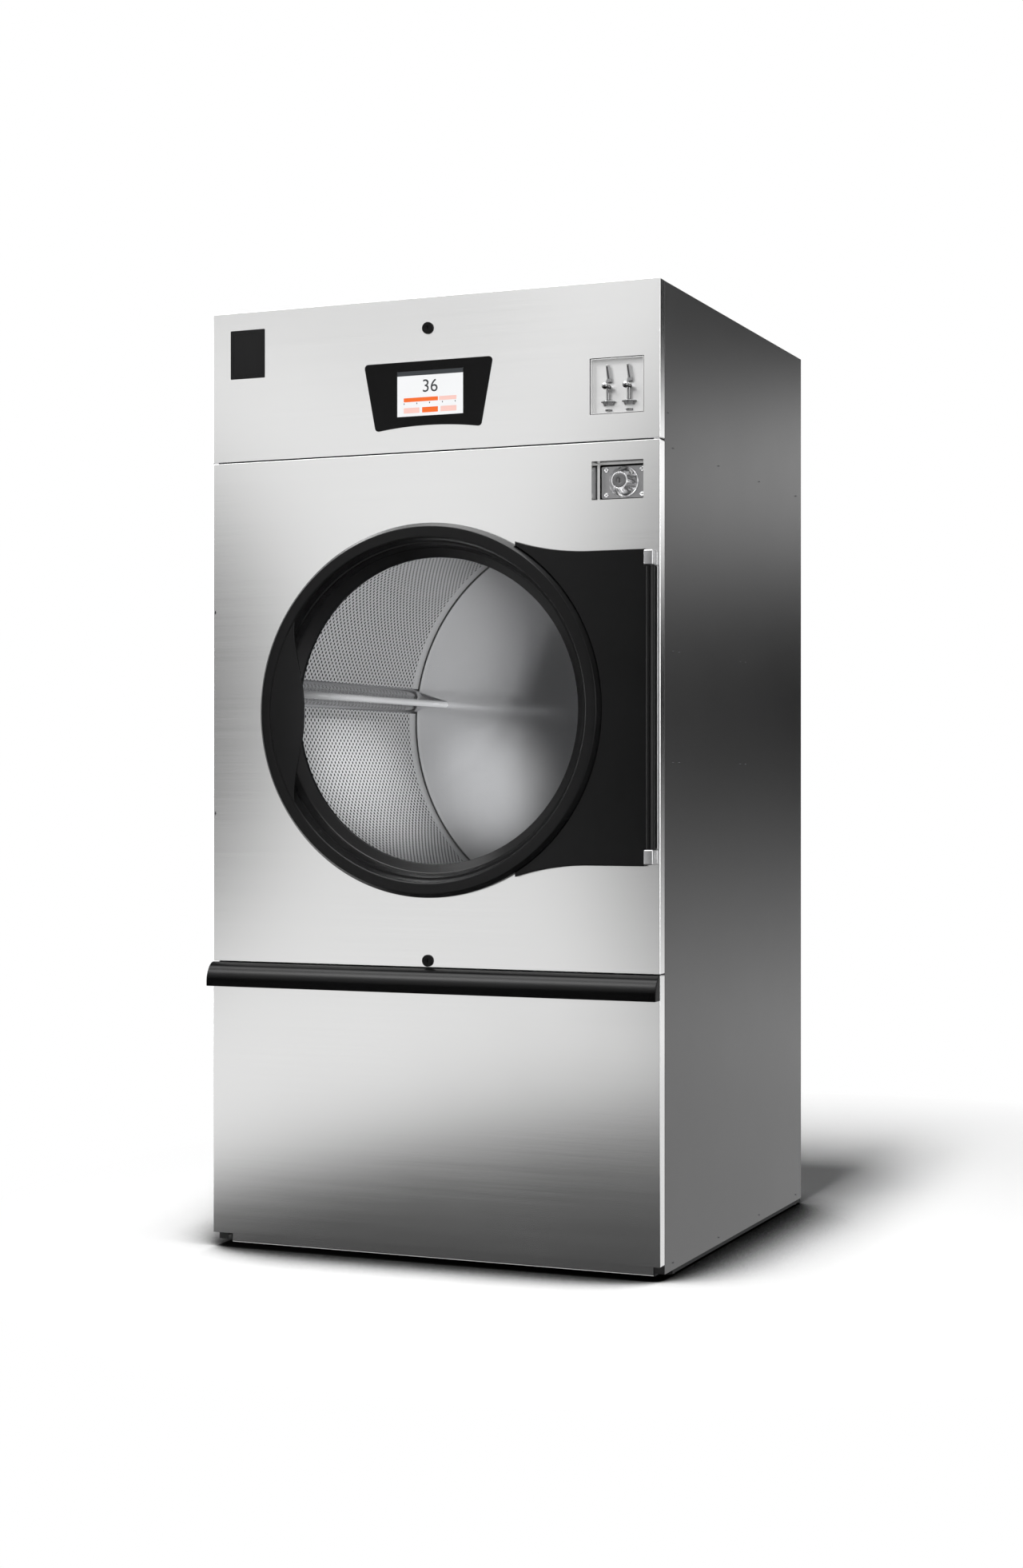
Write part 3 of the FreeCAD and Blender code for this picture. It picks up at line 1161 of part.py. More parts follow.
def display_glass(y0, y1):
    top_left = V(-GLASS_TOP_HALF, 0, GLASS_TOP_Z)
    top_right = V(GLASS_TOP_HALF, 0, GLASS_TOP_Z)
    bottom_left = V(-GLASS_BOTTOM_HALF, 0, GLASS_BOTTOM_Z)
    bottom_right = V(GLASS_BOTTOM_HALF, 0, GLASS_BOTTOM_Z)
    edges = [line(top_left, top_right), line(top_right, bottom_right),
             arc(bottom_right, V(0, 0, GLASS_BOTTOM_Z + GLASS_ARCH), bottom_left), line(bottom_left, top_left)]
    return fillet_along_y(prism_y(edges, y0, y1), GLASS_CORNER)


def screen_block(grow, y0, y1):
    half = SCREEN_WIDTH / 2 + grow
    return box(SCREEN_X - half, SCREEN_X + half, y0, y1,
               SCREEN_BOTTOM - grow, SCREEN_BOTTOM + SCREEN_HEIGHT + grow)


def coin_block(grow, y0, y1):
    half = COIN_WIDTH / 2 + grow
    return rounded(COIN_X - half, COIN_X + half, y0, y1, COIN_BOTTOM - grow, COIN_BOTTOM + COIN_HEIGHT + grow,
                   COIN_CORNER + grow)


def unit_places():
    """X of the left and the right coin mechanism."""
    return COIN_X - COIN_PITCH / 2, COIN_X + COIN_PITCH / 2


def control_panel():
    panel = front_sheet(CONTROL_BOTTOM, CONTROL_TOP)
    through = (-OVERCUT, FLANGE)
    panel = panel.cut(screen_block(2 * RUNNING_GAP, *through))
    panel = panel.cut(coin_block(0, *through))
    panel = panel.cut(rod_y(0, CONTROL_LOCK_Z, LOCK_BODY_RADIUS + LOCK_HOLE_GAP, *through))
    outer = HALF_WIDTH - TILT_END
    middle = outer - TILT_KNUCKLE_LENGTH + RUNNING_GAP
    knuckle = joined([
        rod_x(TILT_Y, TILT_Z, TILT_KNUCKLE_RADIUS, middle, outer),
        box(middle, outer, TILT_Y - TILT_PIN_RADIUS, TILT_Y + TILT_PIN_RADIUS, TILT_Z, CONTROL_BOTTOM),
    ]).cut(rod_x(TILT_Y, TILT_Z, TILT_PIN_RADIUS + BEARING_GAP, middle - OVERCUT, outer + OVERCUT))
    save("control_panel", [joined([panel] + both_sides(knuckle))])


def display_bezel():
    bezel = display_glass(-GLASS_PROUD, 0).cut(screen_block(RUNNING_GAP, -GLASS_PROUD - OVERCUT, OVERCUT))
    save("display_bezel", [bezel])


def display_screen():
    save("display_screen", [screen_block(0, -GLASS_PROUD + SCREEN_RECESS, SCREEN_DEPTH)])


def badge_plate():
    left = -HALF_WIDTH + BADGE_INSET
    top = CONTROL_TOP - BADGE_DROP
    plate = rounded(left, left + BADGE_WIDTH, -BADGE_THICKNESS, 0, top - BADGE_HEIGHT, top, COIN_CORNER)
    save("badge_plate", [plate])


def coin_plate():
    pan = coin_block(SHEET, SHEET, COIN_RECESS + SHEET).cut(coin_block(0, 0, COIN_RECESS))
    for x in unit_places():
        pan = pan.cut(rod_y(x, BUTTON_Z, BUTTON_STEM_RADIUS + BUTTON_HOLE_GAP,
                            0, COIN_RECESS + SHEET + OVERCUT))
        pan = pan.cut(box(x - SLOT_WIDTH / 2, x + SLOT_WIDTH / 2, 0, COIN_RECESS + SHEET + OVERCUT,
                          SLOT_Z - SLOT_LENGTH / 2, SLOT_Z + SLOT_LENGTH / 2))
    save("coin_plate", [pan])


def coin_fittings():
    fittings = []
    for x in unit_places():
        half = SLOT_BLOCK_WIDTH / 2
        bezel = rounded(x - half, x + half, COIN_RECESS - SLOT_BLOCK_DEPTH, COIN_RECESS,
                        SLOT_Z - SLOT_BLOCK_HEIGHT / 2, SLOT_Z + SLOT_BLOCK_HEIGHT / 2, half / 2)
        bezel = bezel.cut(box(x - SLOT_WIDTH / 2, x + SLOT_WIDTH / 2, 0, COIN_RECESS + OVERCUT,
                              SLOT_Z - SLOT_LENGTH / 2, SLOT_Z + SLOT_LENGTH / 2))
        half = POST_WIDTH / 2
        post = box(x - half, x + half, COIN_RECESS - POST_DEPTH, COIN_RECESS,
                   POST_BOTTOM, POST_BOTTOM + POST_HEIGHT)
        half = CUP_WIDTH / 2
        cup_front = COIN_RECESS - CUP_DEPTH
        cup = box(x - half, x + half, cup_front, COIN_RECESS, CUP_BOTTOM, CUP_BOTTOM + CUP_HEIGHT)
        inner = half - CUP_WALL
        cup = cup.cut(box(x - inner, x + inner, cup_front + CUP_WALL, COIN_RECESS - CUP_WALL,
                          CUP_BOTTOM + CUP_WALL, CUP_BOTTOM + CUP_HEIGHT + OVERCUT))
        fittings += [bezel, post, cup]
    save("coin_fittings", fittings)


def coin_acceptors():
    front = COIN_RECESS + SHEET
    middle = COIN_BOTTOM + COIN_HEIGHT / 2
    acceptors = []
    for x in unit_places():
        half = ACCEPTOR_WIDTH / 2
        body = box(x - half, x + half, front, front + ACCEPTOR_DEPTH,
                   middle - ACCEPTOR_HEIGHT / 2, middle + ACCEPTOR_HEIGHT / 2)
        stem = rod_y(x, BUTTON_Z, BUTTON_STEM_RADIUS + BUTTON_HOLE_GAP, front - OVERCUT,
                     BUTTON_STEM_BACK + BUTTON_TRAVEL + RUNNING_GAP)
        throat = box(x - SLOT_WIDTH / 2, x + SLOT_WIDTH / 2, front - OVERCUT, front + ACCEPTOR_DEPTH / 2,
                     SLOT_Z - SLOT_LENGTH / 2, SLOT_Z + SLOT_LENGTH / 2)
        acceptors.append(body.cut(stem).cut(throat))
    save("coin_acceptors", acceptors)


def return_buttons():
    for node, x in zip(("left_return_button", "right_return_button"), unit_places()):
        ball = Part.makeSphere(BUTTON_RADIUS, V(x, BUTTON_Y, BUTTON_Z))
        stem = rod_y(x, BUTTON_Z, BUTTON_STEM_RADIUS, BUTTON_Y, BUTTON_STEM_BACK)
        save(node, [joined([ball, stem])])


# Locks

def key_slot(x, z, front):
    return box(x - KEY_SLOT_WIDTH / 2, x + KEY_SLOT_WIDTH / 2, front - OVERCUT, front + KEY_SLOT_DEPTH,
               z - KEY_SLOT_LENGTH / 2, z + KEY_SLOT_LENGTH / 2)


def cam(x, z, length, y0):
    """Flat cam lying towards +X, in the unlocked place."""
    return box(x - CAM_HALF_WIDTH, x + length, y0, y0 + CAM_THICKNESS, z - CAM_HALF_WIDTH, z + CAM_HALF_WIDTH)


def panel_lock(node, z):
    face_back = -RUNNING_GAP
    lock = joined([
        rod_y(0, z, LOCK_FACE_RADIUS, LOCK_FACE_FRONT, face_back),
        rod_y(0, z, LOCK_BODY_RADIUS, face_back, LOCK_CAM_Y),
        cam(0, z, LOCK_CAM_LENGTH, LOCK_CAM_Y),
    ])
    save(node, [lock.cut(key_slot(0, z, LOCK_FACE_FRONT))])


def coin_lock():
    front = BOX_PLATE_FRONT - BOSS_HEIGHT
    face_back = front + BOSS_HEIGHT / 2
    lock = joined([
        rod_y(VAULT_X, VAULT_Z, VAULT_LOCK_RADIUS, front, face_back),
        rod_y(VAULT_X, VAULT_Z, VAULT_LOCK_STEM, face_back, VAULT_CAM_Y),
        cam(VAULT_X, VAULT_Z, VAULT_CAM_LENGTH, VAULT_CAM_Y),
    ])
    save("coin_lock", [lock.cut(key_slot(VAULT_X, VAULT_Z, front))])


# Coin vault and coin box

def vault_block(grow, y0, y1):
    """Rounded block round the vault's axis."""
    half = VAULT_HALF_WIDTH + grow
    height = VAULT_HALF_HEIGHT + grow
    return rounded(VAULT_X - half, VAULT_X + half, y0, y1, VAULT_Z - height, VAULT_Z + height,
                   VAULT_CORNER + grow)


def coin_vault():
    throat = vault_block(SHEET, SHEET, VAULT_STEP_Y + VAULT_WALL).cut(vault_block(0, 0, VAULT_STEP_Y))
    tunnel_half = VAULT_HALF_WIDTH - VAULT_STEP
    tunnel_height = VAULT_HALF_HEIGHT - VAULT_STEP
    tunnel = box(VAULT_X - tunnel_half, VAULT_X + tunnel_half, 0, VAULT_BACK - VAULT_WALL,
                 VAULT_Z - tunnel_height, VAULT_Z + tunnel_height)
    body_half = tunnel_half + VAULT_WALL
    body_height = tunnel_height + VAULT_WALL
    body = box(VAULT_X - body_half, VAULT_X + body_half, VAULT_STEP_Y, VAULT_BACK,
               VAULT_Z - body_height, VAULT_Z + body_height)
    vault = throat.fuse(body).cut(tunnel)
    roof = (VAULT_Z + tunnel_height - OVERCUT, VAULT_Z + body_height + OVERCUT)
    cam_corner = math.hypot(VAULT_CAM_LENGTH, CAM_HALF_WIDTH)
    cam_entry = math.sqrt(cam_corner ** 2 - tunnel_height ** 2)
    cam_slot = box(VAULT_X - CAM_HALF_WIDTH - CAM_ROOM, VAULT_X + cam_entry + CAM_ROOM,
                   VAULT_CAM_Y - CAM_ROOM, VAULT_CAM_Y + CAM_THICKNESS + CAM_ROOM, *roof)
    drop = box(VAULT_X - COIN_DROP_HALF_WIDTH, VAULT_X + COIN_DROP_HALF_WIDTH,
               COIN_DROP_FRONT, COIN_DROP_FRONT + COIN_DROP_LENGTH, *roof)
    save("coin_vault", [vault.cut(cam_slot).cut(drop).removeSplitter()])


def box_half_width():
    return VAULT_HALF_WIDTH - VAULT_STEP - BOX_GAP


def box_half_height():
    return VAULT_HALF_HEIGHT - VAULT_STEP - BOX_GAP


def bolt_places():
    return [(VAULT_X + sx * BOLT_X, VAULT_Z + sz * BOLT_Z) for sx in (-1, 1) for sz in (-1, 1)]


def coin_box_front():
    half = box_half_width()
    height = box_half_height()
    plate_back = BOX_PLATE_FRONT + BOX_PLATE
    plate = box(VAULT_X - half, VAULT_X + half, BOX_PLATE_FRONT, plate_back, VAULT_Z - height, VAULT_Z + height)
    boss = Part.makeCone(BOSS_TOP_RADIUS, BOSS_BASE_RADIUS, BOSS_HEIGHT,
                         V(VAULT_X, BOX_PLATE_FRONT - BOSS_HEIGHT, VAULT_Z), V(0, 1, 0))
    front = plate.fuse(boss).removeSplitter()
    face_back = BOX_PLATE_FRONT - BOSS_HEIGHT / 2
    front = front.cut(rod_y(VAULT_X, VAULT_Z, VAULT_LOCK_RADIUS + LOCK_HOLE_GAP,
                            -OVERCUT, face_back + RUNNING_GAP))
    front = front.cut(rod_y(VAULT_X, VAULT_Z, VAULT_LOCK_STEM + LOCK_HOLE_GAP, 0, plate_back + OVERCUT))
    for x, z in bolt_places():
        front = front.cut(rod_y(x, z, BOLT_SHANK_RADIUS + SEAT_GAP, 0, plate_back + OVERCUT))
    save("coin_box_front", [front])


def coin_box_bolts():
    bolts = []
    for x, z in bolt_places():
        seat = BOX_PLATE_FRONT
        crown = (BOLT_HEAD_RADIUS ** 2 + BOLT_HEAD_HEIGHT ** 2) / (2 * BOLT_HEAD_HEIGHT)
        dome = Part.makeSphere(crown, V(x, seat - BOLT_HEAD_HEIGHT + crown, z))
        head = dome.common(rod_y(x, z, BOLT_HEAD_RADIUS, seat - BOLT_HEAD_HEIGHT - OVERCUT, seat))
        bolts.append(joined([head, rod_y(x, z, BOLT_SHANK_RADIUS, seat - OVERCUT, seat + BOX_PLATE + SHEET)]))
    save("coin_box_bolts", bolts)


def coin_box():
    half = box_half_width() - BOX_SIDE_STEP
    height = box_half_height() - BOX_SIDE_STEP
    front = BOX_PLATE_FRONT + BOX_PLATE
    top = VAULT_Z + height - BOX_HEADROOM
    tray = box(VAULT_X - half, VAULT_X + half, front, BOX_BACK, VAULT_Z - height, top)
    inner = half - BOX_WALL
    floor = VAULT_Z - height + BOX_WALL
    tray = tray.cut(box(VAULT_X - inner, VAULT_X + inner, front - OVERCUT, BOX_DIVIDER_Y, floor, top + OVERCUT))
    tray = tray.cut(box(VAULT_X - inner, VAULT_X + inner, BOX_DIVIDER_Y + BOX_WALL, BOX_BACK - BOX_WALL,
                        floor, top + OVERCUT))
    save("coin_box", [tray])


# Lint drawer

def lint_drawer_front():
    save("lint_drawer_front", [front_sheet(DRAWER_BOTTOM, DRAWER_TOP)])


def handle_profile(solid_end):
    """Outline of the handle in Y and Z; the bar is hollow from below, the end caps are filled."""
    low = DRAWER_TOP - HANDLE_HEIGHT
    knee = low + HANDLE_LIP + HANDLE_FACE
    circle_pull = 4 / 3 * (math.sqrt(2) - 1)

    def point(y, z):
        return V(0, y, z)

    def quarter(back, front, top):
        """Quarter of an oval, from its top at y = back down to the knee at y = front."""
        curve = Part.BezierCurve()
        curve.setPoles([point(back, top), point(back + (front - back) * circle_pull, top),
                        point(front, knee + (top - knee) * circle_pull), point(front, knee)])
        return curve.toShape()

    def chain(points):
        return [line(a, b) for a, b in zip(points, points[1:])]

    front = -HANDLE_PROUD
    outer = [quarter(0, front, DRAWER_TOP)]
    outer += chain([point(front, knee), point(front, low + HANDLE_LIP), point(front + HANDLE_LIP, low)])
    back_edge = [point(0, low), point(0, DRAWER_TOP)]
    if solid_end:
        return outer + chain([point(front + HANDLE_LIP, low)] + back_edge)
    inside = front + HANDLE_WALL
    ceiling = DRAWER_TOP - HANDLE_WALL
    inner_wall = [point(front + HANDLE_LIP, low), point(inside + HANDLE_LIP, low),
                  point(inside, low + HANDLE_LIP), point(inside, knee)]
    back_wall = [point(-HANDLE_BACK_WALL, ceiling), point(-HANDLE_BACK_WALL, low)]
    hollow = chain(inner_wall) + [quarter(-HANDLE_BACK_WALL, inside, ceiling)]
    return outer + hollow + chain(back_wall + back_edge)


def handle_length(solid_end, x0, x1):
    face = Part.Face(Part.Wire(handle_profile(solid_end)))
    face.translate(V(x0, 0, 0))
    return face.extrude(V(x1 - x0, 0, 0))


def lint_drawer_handle():
    reach = HALF_WIDTH - HANDLE_CAP
    bar = handle_length(False, -reach, reach)
    caps = both_sides(handle_length(True, reach, HALF_WIDTH))
    save("lint_drawer_handle", [bar] + caps)


def lint_drawer_frame():
    half = DRAWER_HALF_WIDTH
    skid = RUNNER_TOP + RUNNING_GAP
    frame = box(-half, half, SHEET, DRAWER_BACK, DRAWER_WALL_BOTTOM, DRAWER_WALL_TOP)
    frame = frame.cut(box(-half + SHEET, half - SHEET, 0, DRAWER_BACK - SHEET,
                          DRAWER_WALL_BOTTOM - OVERCUT, DRAWER_WALL_TOP + OVERCUT))
    frame = frame.cut(box(-half + BASE_LEDGE, half - BASE_LEDGE,
                          DRAWER_BACK - SHEET - OVERCUT, DRAWER_BACK + OVERCUT,
                          DRAWER_WALL_BOTTOM + SHEET, DRAWER_FLOOR - BASE_LEDGE))
    tie = box(-half, half, SHEET, SHEET + BASE_LEDGE, DRAWER_WALL_BOTTOM, DRAWER_WALL_BOTTOM + SHEET)
    skids = both_sides(box(half, half + DRAWER_SKID_WIDTH, FLANGE + SIDE_RETURN, DRAWER_BACK,
                           skid, skid + SHEET))
    ledges = both_sides(box(half - BASE_LEDGE / 2, half - SHEET, SHEET, DRAWER_BACK - SHEET,
                            DRAWER_FLOOR - SHEET, DRAWER_FLOOR))
    save("lint_drawer_frame", [joined([frame, tie] + skids + ledges)])


def lint_screen():
    half = DRAWER_HALF_WIDTH - SHEET - RUNNING_GAP
    save("lint_screen", [box(-half, half, SHEET + RUNNING_GAP, DRAWER_BACK - SHEET - RUNNING_GAP,
                             DRAWER_FLOOR, DRAWER_FLOOR + SCREEN_PLATE)])


def drawer_runners():
    inner = DRAWER_HALF_WIDTH + DRAWER_SKID_WIDTH - RUNNER_OVERLAP
    outer = HALF_WIDTH - SHEET
    runner = joined([
        box(inner, outer, RUNNER_FRONT, RUNNER_BACK, RUNNER_TOP - RUNNER_THICKNESS, RUNNER_TOP),
        box(outer - RUNNER_THICKNESS, outer, RUNNER_FRONT, RUNNER_BACK, RUNNER_TOP - RUNNER_WEB, RUNNER_TOP),
    ])
    save("drawer_runners", both_sides(runner))


def main():
    os.makedirs("parts", exist_ok=True)
    base_frame()
    levelling_feet()
    side_panels()
    top_panel()
    rear_panel()
    front_panel()
    cabinet_screws()
    drum_housing()
    opening_collar()
    drum_felt_seal()
    drum_cylinder()
    drum_back()
    drum_lifters()
    drum_shaft()
    drum_pulley()
    shaft_bearings()
    bearing_housings()
    jackshaft()
    drive_belts()
    drive_motor()
    motor_pulley()
    rear_guard()
    blower_housing()
    blower_wheel()
    fan_motor()
    exhaust_duct()
    heater_box()
    heater_elements()
    terminal_box()
    door_ring()
    door_glass()
    door_inner_bezel()
    door_gasket()
    door_magnet()
    door_hinge_plate()
    door_hinge_blocks()
    hinge_pins()
    door_pull()
    control_panel()
    display_bezel()
    display_screen()
    badge_plate()
    coin_plate()
    coin_fittings()
    coin_acceptors()
    return_buttons()
    panel_lock("control_lock", CONTROL_LOCK_Z)
    panel_lock("lint_lock", LINT_LOCK_Z)
    coin_lock()
    coin_vault()
    coin_box_front()
    coin_box_bolts()
    coin_box()
    lint_drawer_front()
    lint_drawer_handle()
    lint_drawer_frame()
    lint_screen()
    drawer_runners()


main()
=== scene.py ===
import json
import math
from contextlib import contextmanager

import bmesh
import bpy
from bpy.props import FloatProperty, FloatVectorProperty, IntProperty, PointerProperty
from mathutils import Matrix, Vector


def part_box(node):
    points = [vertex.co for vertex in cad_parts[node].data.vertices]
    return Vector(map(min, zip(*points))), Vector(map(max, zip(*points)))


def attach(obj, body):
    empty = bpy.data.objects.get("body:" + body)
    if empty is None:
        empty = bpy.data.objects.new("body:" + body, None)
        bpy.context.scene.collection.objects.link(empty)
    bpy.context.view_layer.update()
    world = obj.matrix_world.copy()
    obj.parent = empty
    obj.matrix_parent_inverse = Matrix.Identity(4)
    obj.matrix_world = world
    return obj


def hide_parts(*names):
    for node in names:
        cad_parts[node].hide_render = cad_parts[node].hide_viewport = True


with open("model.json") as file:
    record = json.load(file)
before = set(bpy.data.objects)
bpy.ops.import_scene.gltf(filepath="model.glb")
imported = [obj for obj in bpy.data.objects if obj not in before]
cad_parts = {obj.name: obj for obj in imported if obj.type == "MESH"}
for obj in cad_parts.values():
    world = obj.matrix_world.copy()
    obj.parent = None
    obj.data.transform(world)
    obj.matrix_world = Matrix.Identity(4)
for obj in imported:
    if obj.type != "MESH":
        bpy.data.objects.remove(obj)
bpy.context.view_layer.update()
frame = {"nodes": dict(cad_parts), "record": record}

bl_info = {
    "name": "Coin Tumble Dryer",
    "version": (1, 0, 0),
    "blender": (4, 5, 0),
    "location": "3D View > Sidebar > Dryer",
    "description": "Models the sheets, door, drum and fittings of a coin-operated tumble dryer on its frame",
    "category": "Add Mesh",
}

# Facts of the frame. All sizes are in metres.
RECORD = frame["record"]
BODY_OF = {node: body for body, nodes in RECORD["behaviour"]["bodies"].items() for node in nodes}
SLOT_OF = {part["node"]: part["material_slot"] for part in RECORD["subparts"]}


def span(node):
    """Lowest and highest corner of a frame node."""
    low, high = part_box(node)
    return Vector(low), Vector(high)


def middle(node):
    low, high = span(node)
    return (low + high) / 2


FRONT = span("front_panel")[0].y
AXIS = middle("door_ring")
SHEET_EDGE = 0.03  # how far a cutter runs past the front sheet that it opens
PAST = 0.01  # how far any other cutter runs past its piece
NEAR = 1e-5  # distance within which a place counts as met
WELD = 1e-6  # distance within which the points of a mesh are merged
ALONG = 0.9  # least cosine of a direction that runs along an axis
ACROSS = 0.5  # greatest cosine of a direction that runs across it


# Sizes and colours that a user may change

def length(label, note, default):
    return FloatProperty(name=label, description=note, default=default, unit="LENGTH", precision=4)


def angle(label, note, degrees):
    return FloatProperty(name=label, description=note, default=math.radians(degrees), subtype="ANGLE")


def number(label, note, default):
    return FloatProperty(name=label, description=note, default=default)


def count(label, note, default):
    return IntProperty(name=label, description=note, default=default, min=1)


def colour(label, note, default):
    return FloatVectorProperty(name=label, description=note, default=default, size=3, subtype="COLOR",
                               min=0, max=1)


def place(label, note, default):
    return FloatVectorProperty(name=label, description=note, default=default, size=3, subtype="XYZ",
                               unit="LENGTH")


class SheetSizes(bpy.types.PropertyGroup):
    gauge: length("Gauge", "Thickness of the folded sheets", 0.0015)
    bend: length("Bend", "Outer radius of the upright folds", 0.0022)
    crease: length("Crease", "Outer radius of the level folds", 0.0008)
    seam: length("Seam", "Gap between the front panel and the control panel", 0.0028)
    door_hole: length("Door hole", "Radius of the hole in the front panel", 0.352)
    lock_hole: length("Lock hole", "Radius of the holes for the panel locks", 0.0104)
    knuckle: length("Knuckle", "Length of a hinge knuckle in the seam", 0.022)
    screw_crown: length("Screw crown", "Height of a cabinet screw's head", 0.0024)
    toe_inset: length("Toe inset", "How far the toe strip stops short of the base frame's sides", 0.025)


class DoorSizes(bpy.types.PropertyGroup):
    crest: length("Crest", "Radius of the ring's foremost edge", 0.367)
    rim: length("Rim", "Radius of the inner edge of the ring's flat face", 0.345)
    cone: length("Cone", "Radius at the foot of the sloping wall", 0.329)
    view: length("View", "Radius of the clear glass", 0.309)
    flank: length("Flank", "Depth of the ring's outer edge", 0.006)
    plate: length("Plate", "Depth of the hinge plate in front of the sheet", 0.012)
    plate_half: length("Plate half height", "Half the height of the hinge plate at its hinge", 0.306)
    plate_sweep: length("Plate sweep", "Radius of the sweep of the hinge plate's horns", 0.520)
    plate_straight: length("Plate straight", "Where the hinge plate's sweep starts, from the axis", 0.350)
    plate_tip: length("Plate tip", "Where the hinge plate's horns end, from the axis", 0.193)
    barrel: length("Barrel", "Radius of the hinge barrel", 0.009)
    grip: length("Grip", "Thickness of the pull", 0.005)


class DrumSizes(bpy.types.PropertyGroup):
    hole: length("Hole", "Width of a hole in the drum wall from corner to corner", 0.0076)
    lip: length("Lip", "Depth of the pierced lip of a hole", 0.0004)
    pitch: length("Pitch", "Spacing of the holes round the drum", 0.0146)
    row: length("Row", "Spacing of the rows of holes", 0.00875)
    margin: length("Margin", "Plain band at each end of the drum wall", 0.018)
    wall: length("Wall", "Thickness of the drum wall", 0.0015)
    panels: count("Panels", "Perforated panels round the drum", 3)
    lifter_turn: angle("Lifter turn", "Place of the first lifter round the drum", 173.4)
    lifter_half: length("Lifter half width", "Half the width of a lifter's foot", 0.030)
    lifter_height: length("Lifter height", "How far a lifter stands in from the wall", 0.085)
    lifter_tip: length("Lifter tip", "Radius of a lifter's rounded tip", 0.008)


class Colours(bpy.types.PropertyGroup):
    steel: colour("Steel", "Brushed stainless sheet", (0.80, 0.80, 0.797))
    drum: colour("Drum", "Satin stainless of the drum", (0.54, 0.54, 0.55))
    zinc: colour("Zinc", "Galvanized sheet", (0.52, 0.53, 0.54))
    paint: colour("Paint", "Dark powder coat of the cabinet", (0.018, 0.018, 0.0185))
    plastic: colour("Plastic", "Moulded black plastic", (0.0055, 0.0055, 0.0057))
    rubber: colour("Rubber", "Seals and belts", (0.012, 0.012, 0.012))
    felt: colour("Felt", "Wool felt of the drum seal", (0.55, 0.52, 0.46))
    chrome: colour("Chrome", "Polished fittings", (0.66, 0.66, 0.67))
    iron: colour("Iron", "Machined shafts and pulleys", (0.20, 0.20, 0.21))
    enamel: colour("Enamel", "Motor housings", (0.10, 0.11, 0.13))
    page: colour("Page", "Lit page of the display", (0.94, 0.95, 0.96))
    ink: colour("Ink", "Dark marks on the display", (0.04, 0.045, 0.05))
    accent: colour("Accent", "Warm marks on the display", (0.95, 0.16, 0.02))


class StageSettings(bpy.types.PropertyGroup):
    camera: place("Camera", "Where the camera stands", (2.04263, -5.01932, 0.96073))
    camera_turn: angle("Camera turn", "Turn of the level camera about the upright", 22.763)
    lens: FloatProperty(name="Lens", description="Focal length", default=55.97, unit="CAMERA")
    sky: number("Sky", "Even light from all round", 0.11)
    key: number("Key", "Power of the key lamp in watts", 430.0)
    key_place: place("Key place", "Where the key lamp hangs", (0.20, -1.8, 6.2))
    fill: number("Drum fill", "Power of the spot that lights the drum's wall", 800.0)
    fill_place: place("Drum fill place", "Where that spot stands", (1.3, -2.5, 0.6))
    pool: number("Drum pool", "Power of the spot that makes the drum's bright band", 1500.0)
    pool_place: place("Drum pool place", "Where that spot stands", (1.1, -2.6, 1.75))
    back: number("Drum back", "Power of the spot that carries the band on to the drum's back", 950.0)
    back_place: place("Drum back place", "Where that spot stands", (0.9, -2.9, 1.5))


# Modelling with Blender's own tools

def clear():
    """Leaves edit mode with nothing selected."""
    active = bpy.context.view_layer.objects.active
    if active and active.mode != "OBJECT":
        bpy.ops.object.mode_set(mode="OBJECT")
    bpy.ops.object.select_all(action="DESELECT")


def only(piece):
    """Makes a piece the one that is selected and active."""
    clear()
    piece.select_set(True)
    bpy.context.view_layer.objects.active = piece


def named(piece, name):
    piece.name = piece.data.name = name
    return piece


def settle(name):
    """Names the new primitive and moves its place, turn and scale into its mesh."""
    bpy.ops.object.transform_apply(location=True, rotation=True, scale=True)
    return named(bpy.context.object, name)


@contextmanager
def picked(piece, kind, test=None):
    """Edit mode with those points, edges or faces selected whose place and direction pass the test."""
    only(piece)
    bpy.ops.object.mode_set(mode="EDIT")
    bpy.ops.mesh.select_mode(type=kind)
    bpy.ops.mesh.select_all(action="DESELECT" if test else "SELECT")
    if test:
        mesh = bmesh.from_edit_mesh(piece.data)
        mesh.normal_update()
        if kind == "VERT":
            chosen = [item for item in mesh.verts if test(item.co)]
        elif kind == "EDGE":
            ends = [(item, item.verts[0].co, item.verts[1].co) for item in mesh.edges]
            chosen = [item for item, a, b in ends if test((a + b) / 2, (b - a).normalized())]
        else:
            chosen = [item for item in mesh.faces if test(item.calc_center_median(), item.normal)]
        if not chosen:
            raise RuntimeError(f"{piece.name} has no {kind.lower()} at the place that was looked for")
        for item in chosen:
            item.select_set(True)
        mesh.select_flush_mode()
        bmesh.update_edit_mesh(piece.data)
    yield
    bpy.ops.object.mode_set(mode="OBJECT")


def block(name, low, high):
    low, high = Vector(low), Vector(high)
    clear()
    bpy.ops.mesh.primitive_cube_add(size=1, location=(low + high) / 2, scale=high - low)
    return settle(name)


def bar(name, start, end, radius, sides):
    start, end = Vector(start), Vector(end)
    turn = (end - start).to_track_quat("Z", "Y").to_euler()
    clear()
    bpy.ops.mesh.primitive_cylinder_add(vertices=sides, radius=radius, depth=(end - start).length,
                                        location=(start + end) / 2, rotation=turn)
    return settle(name)


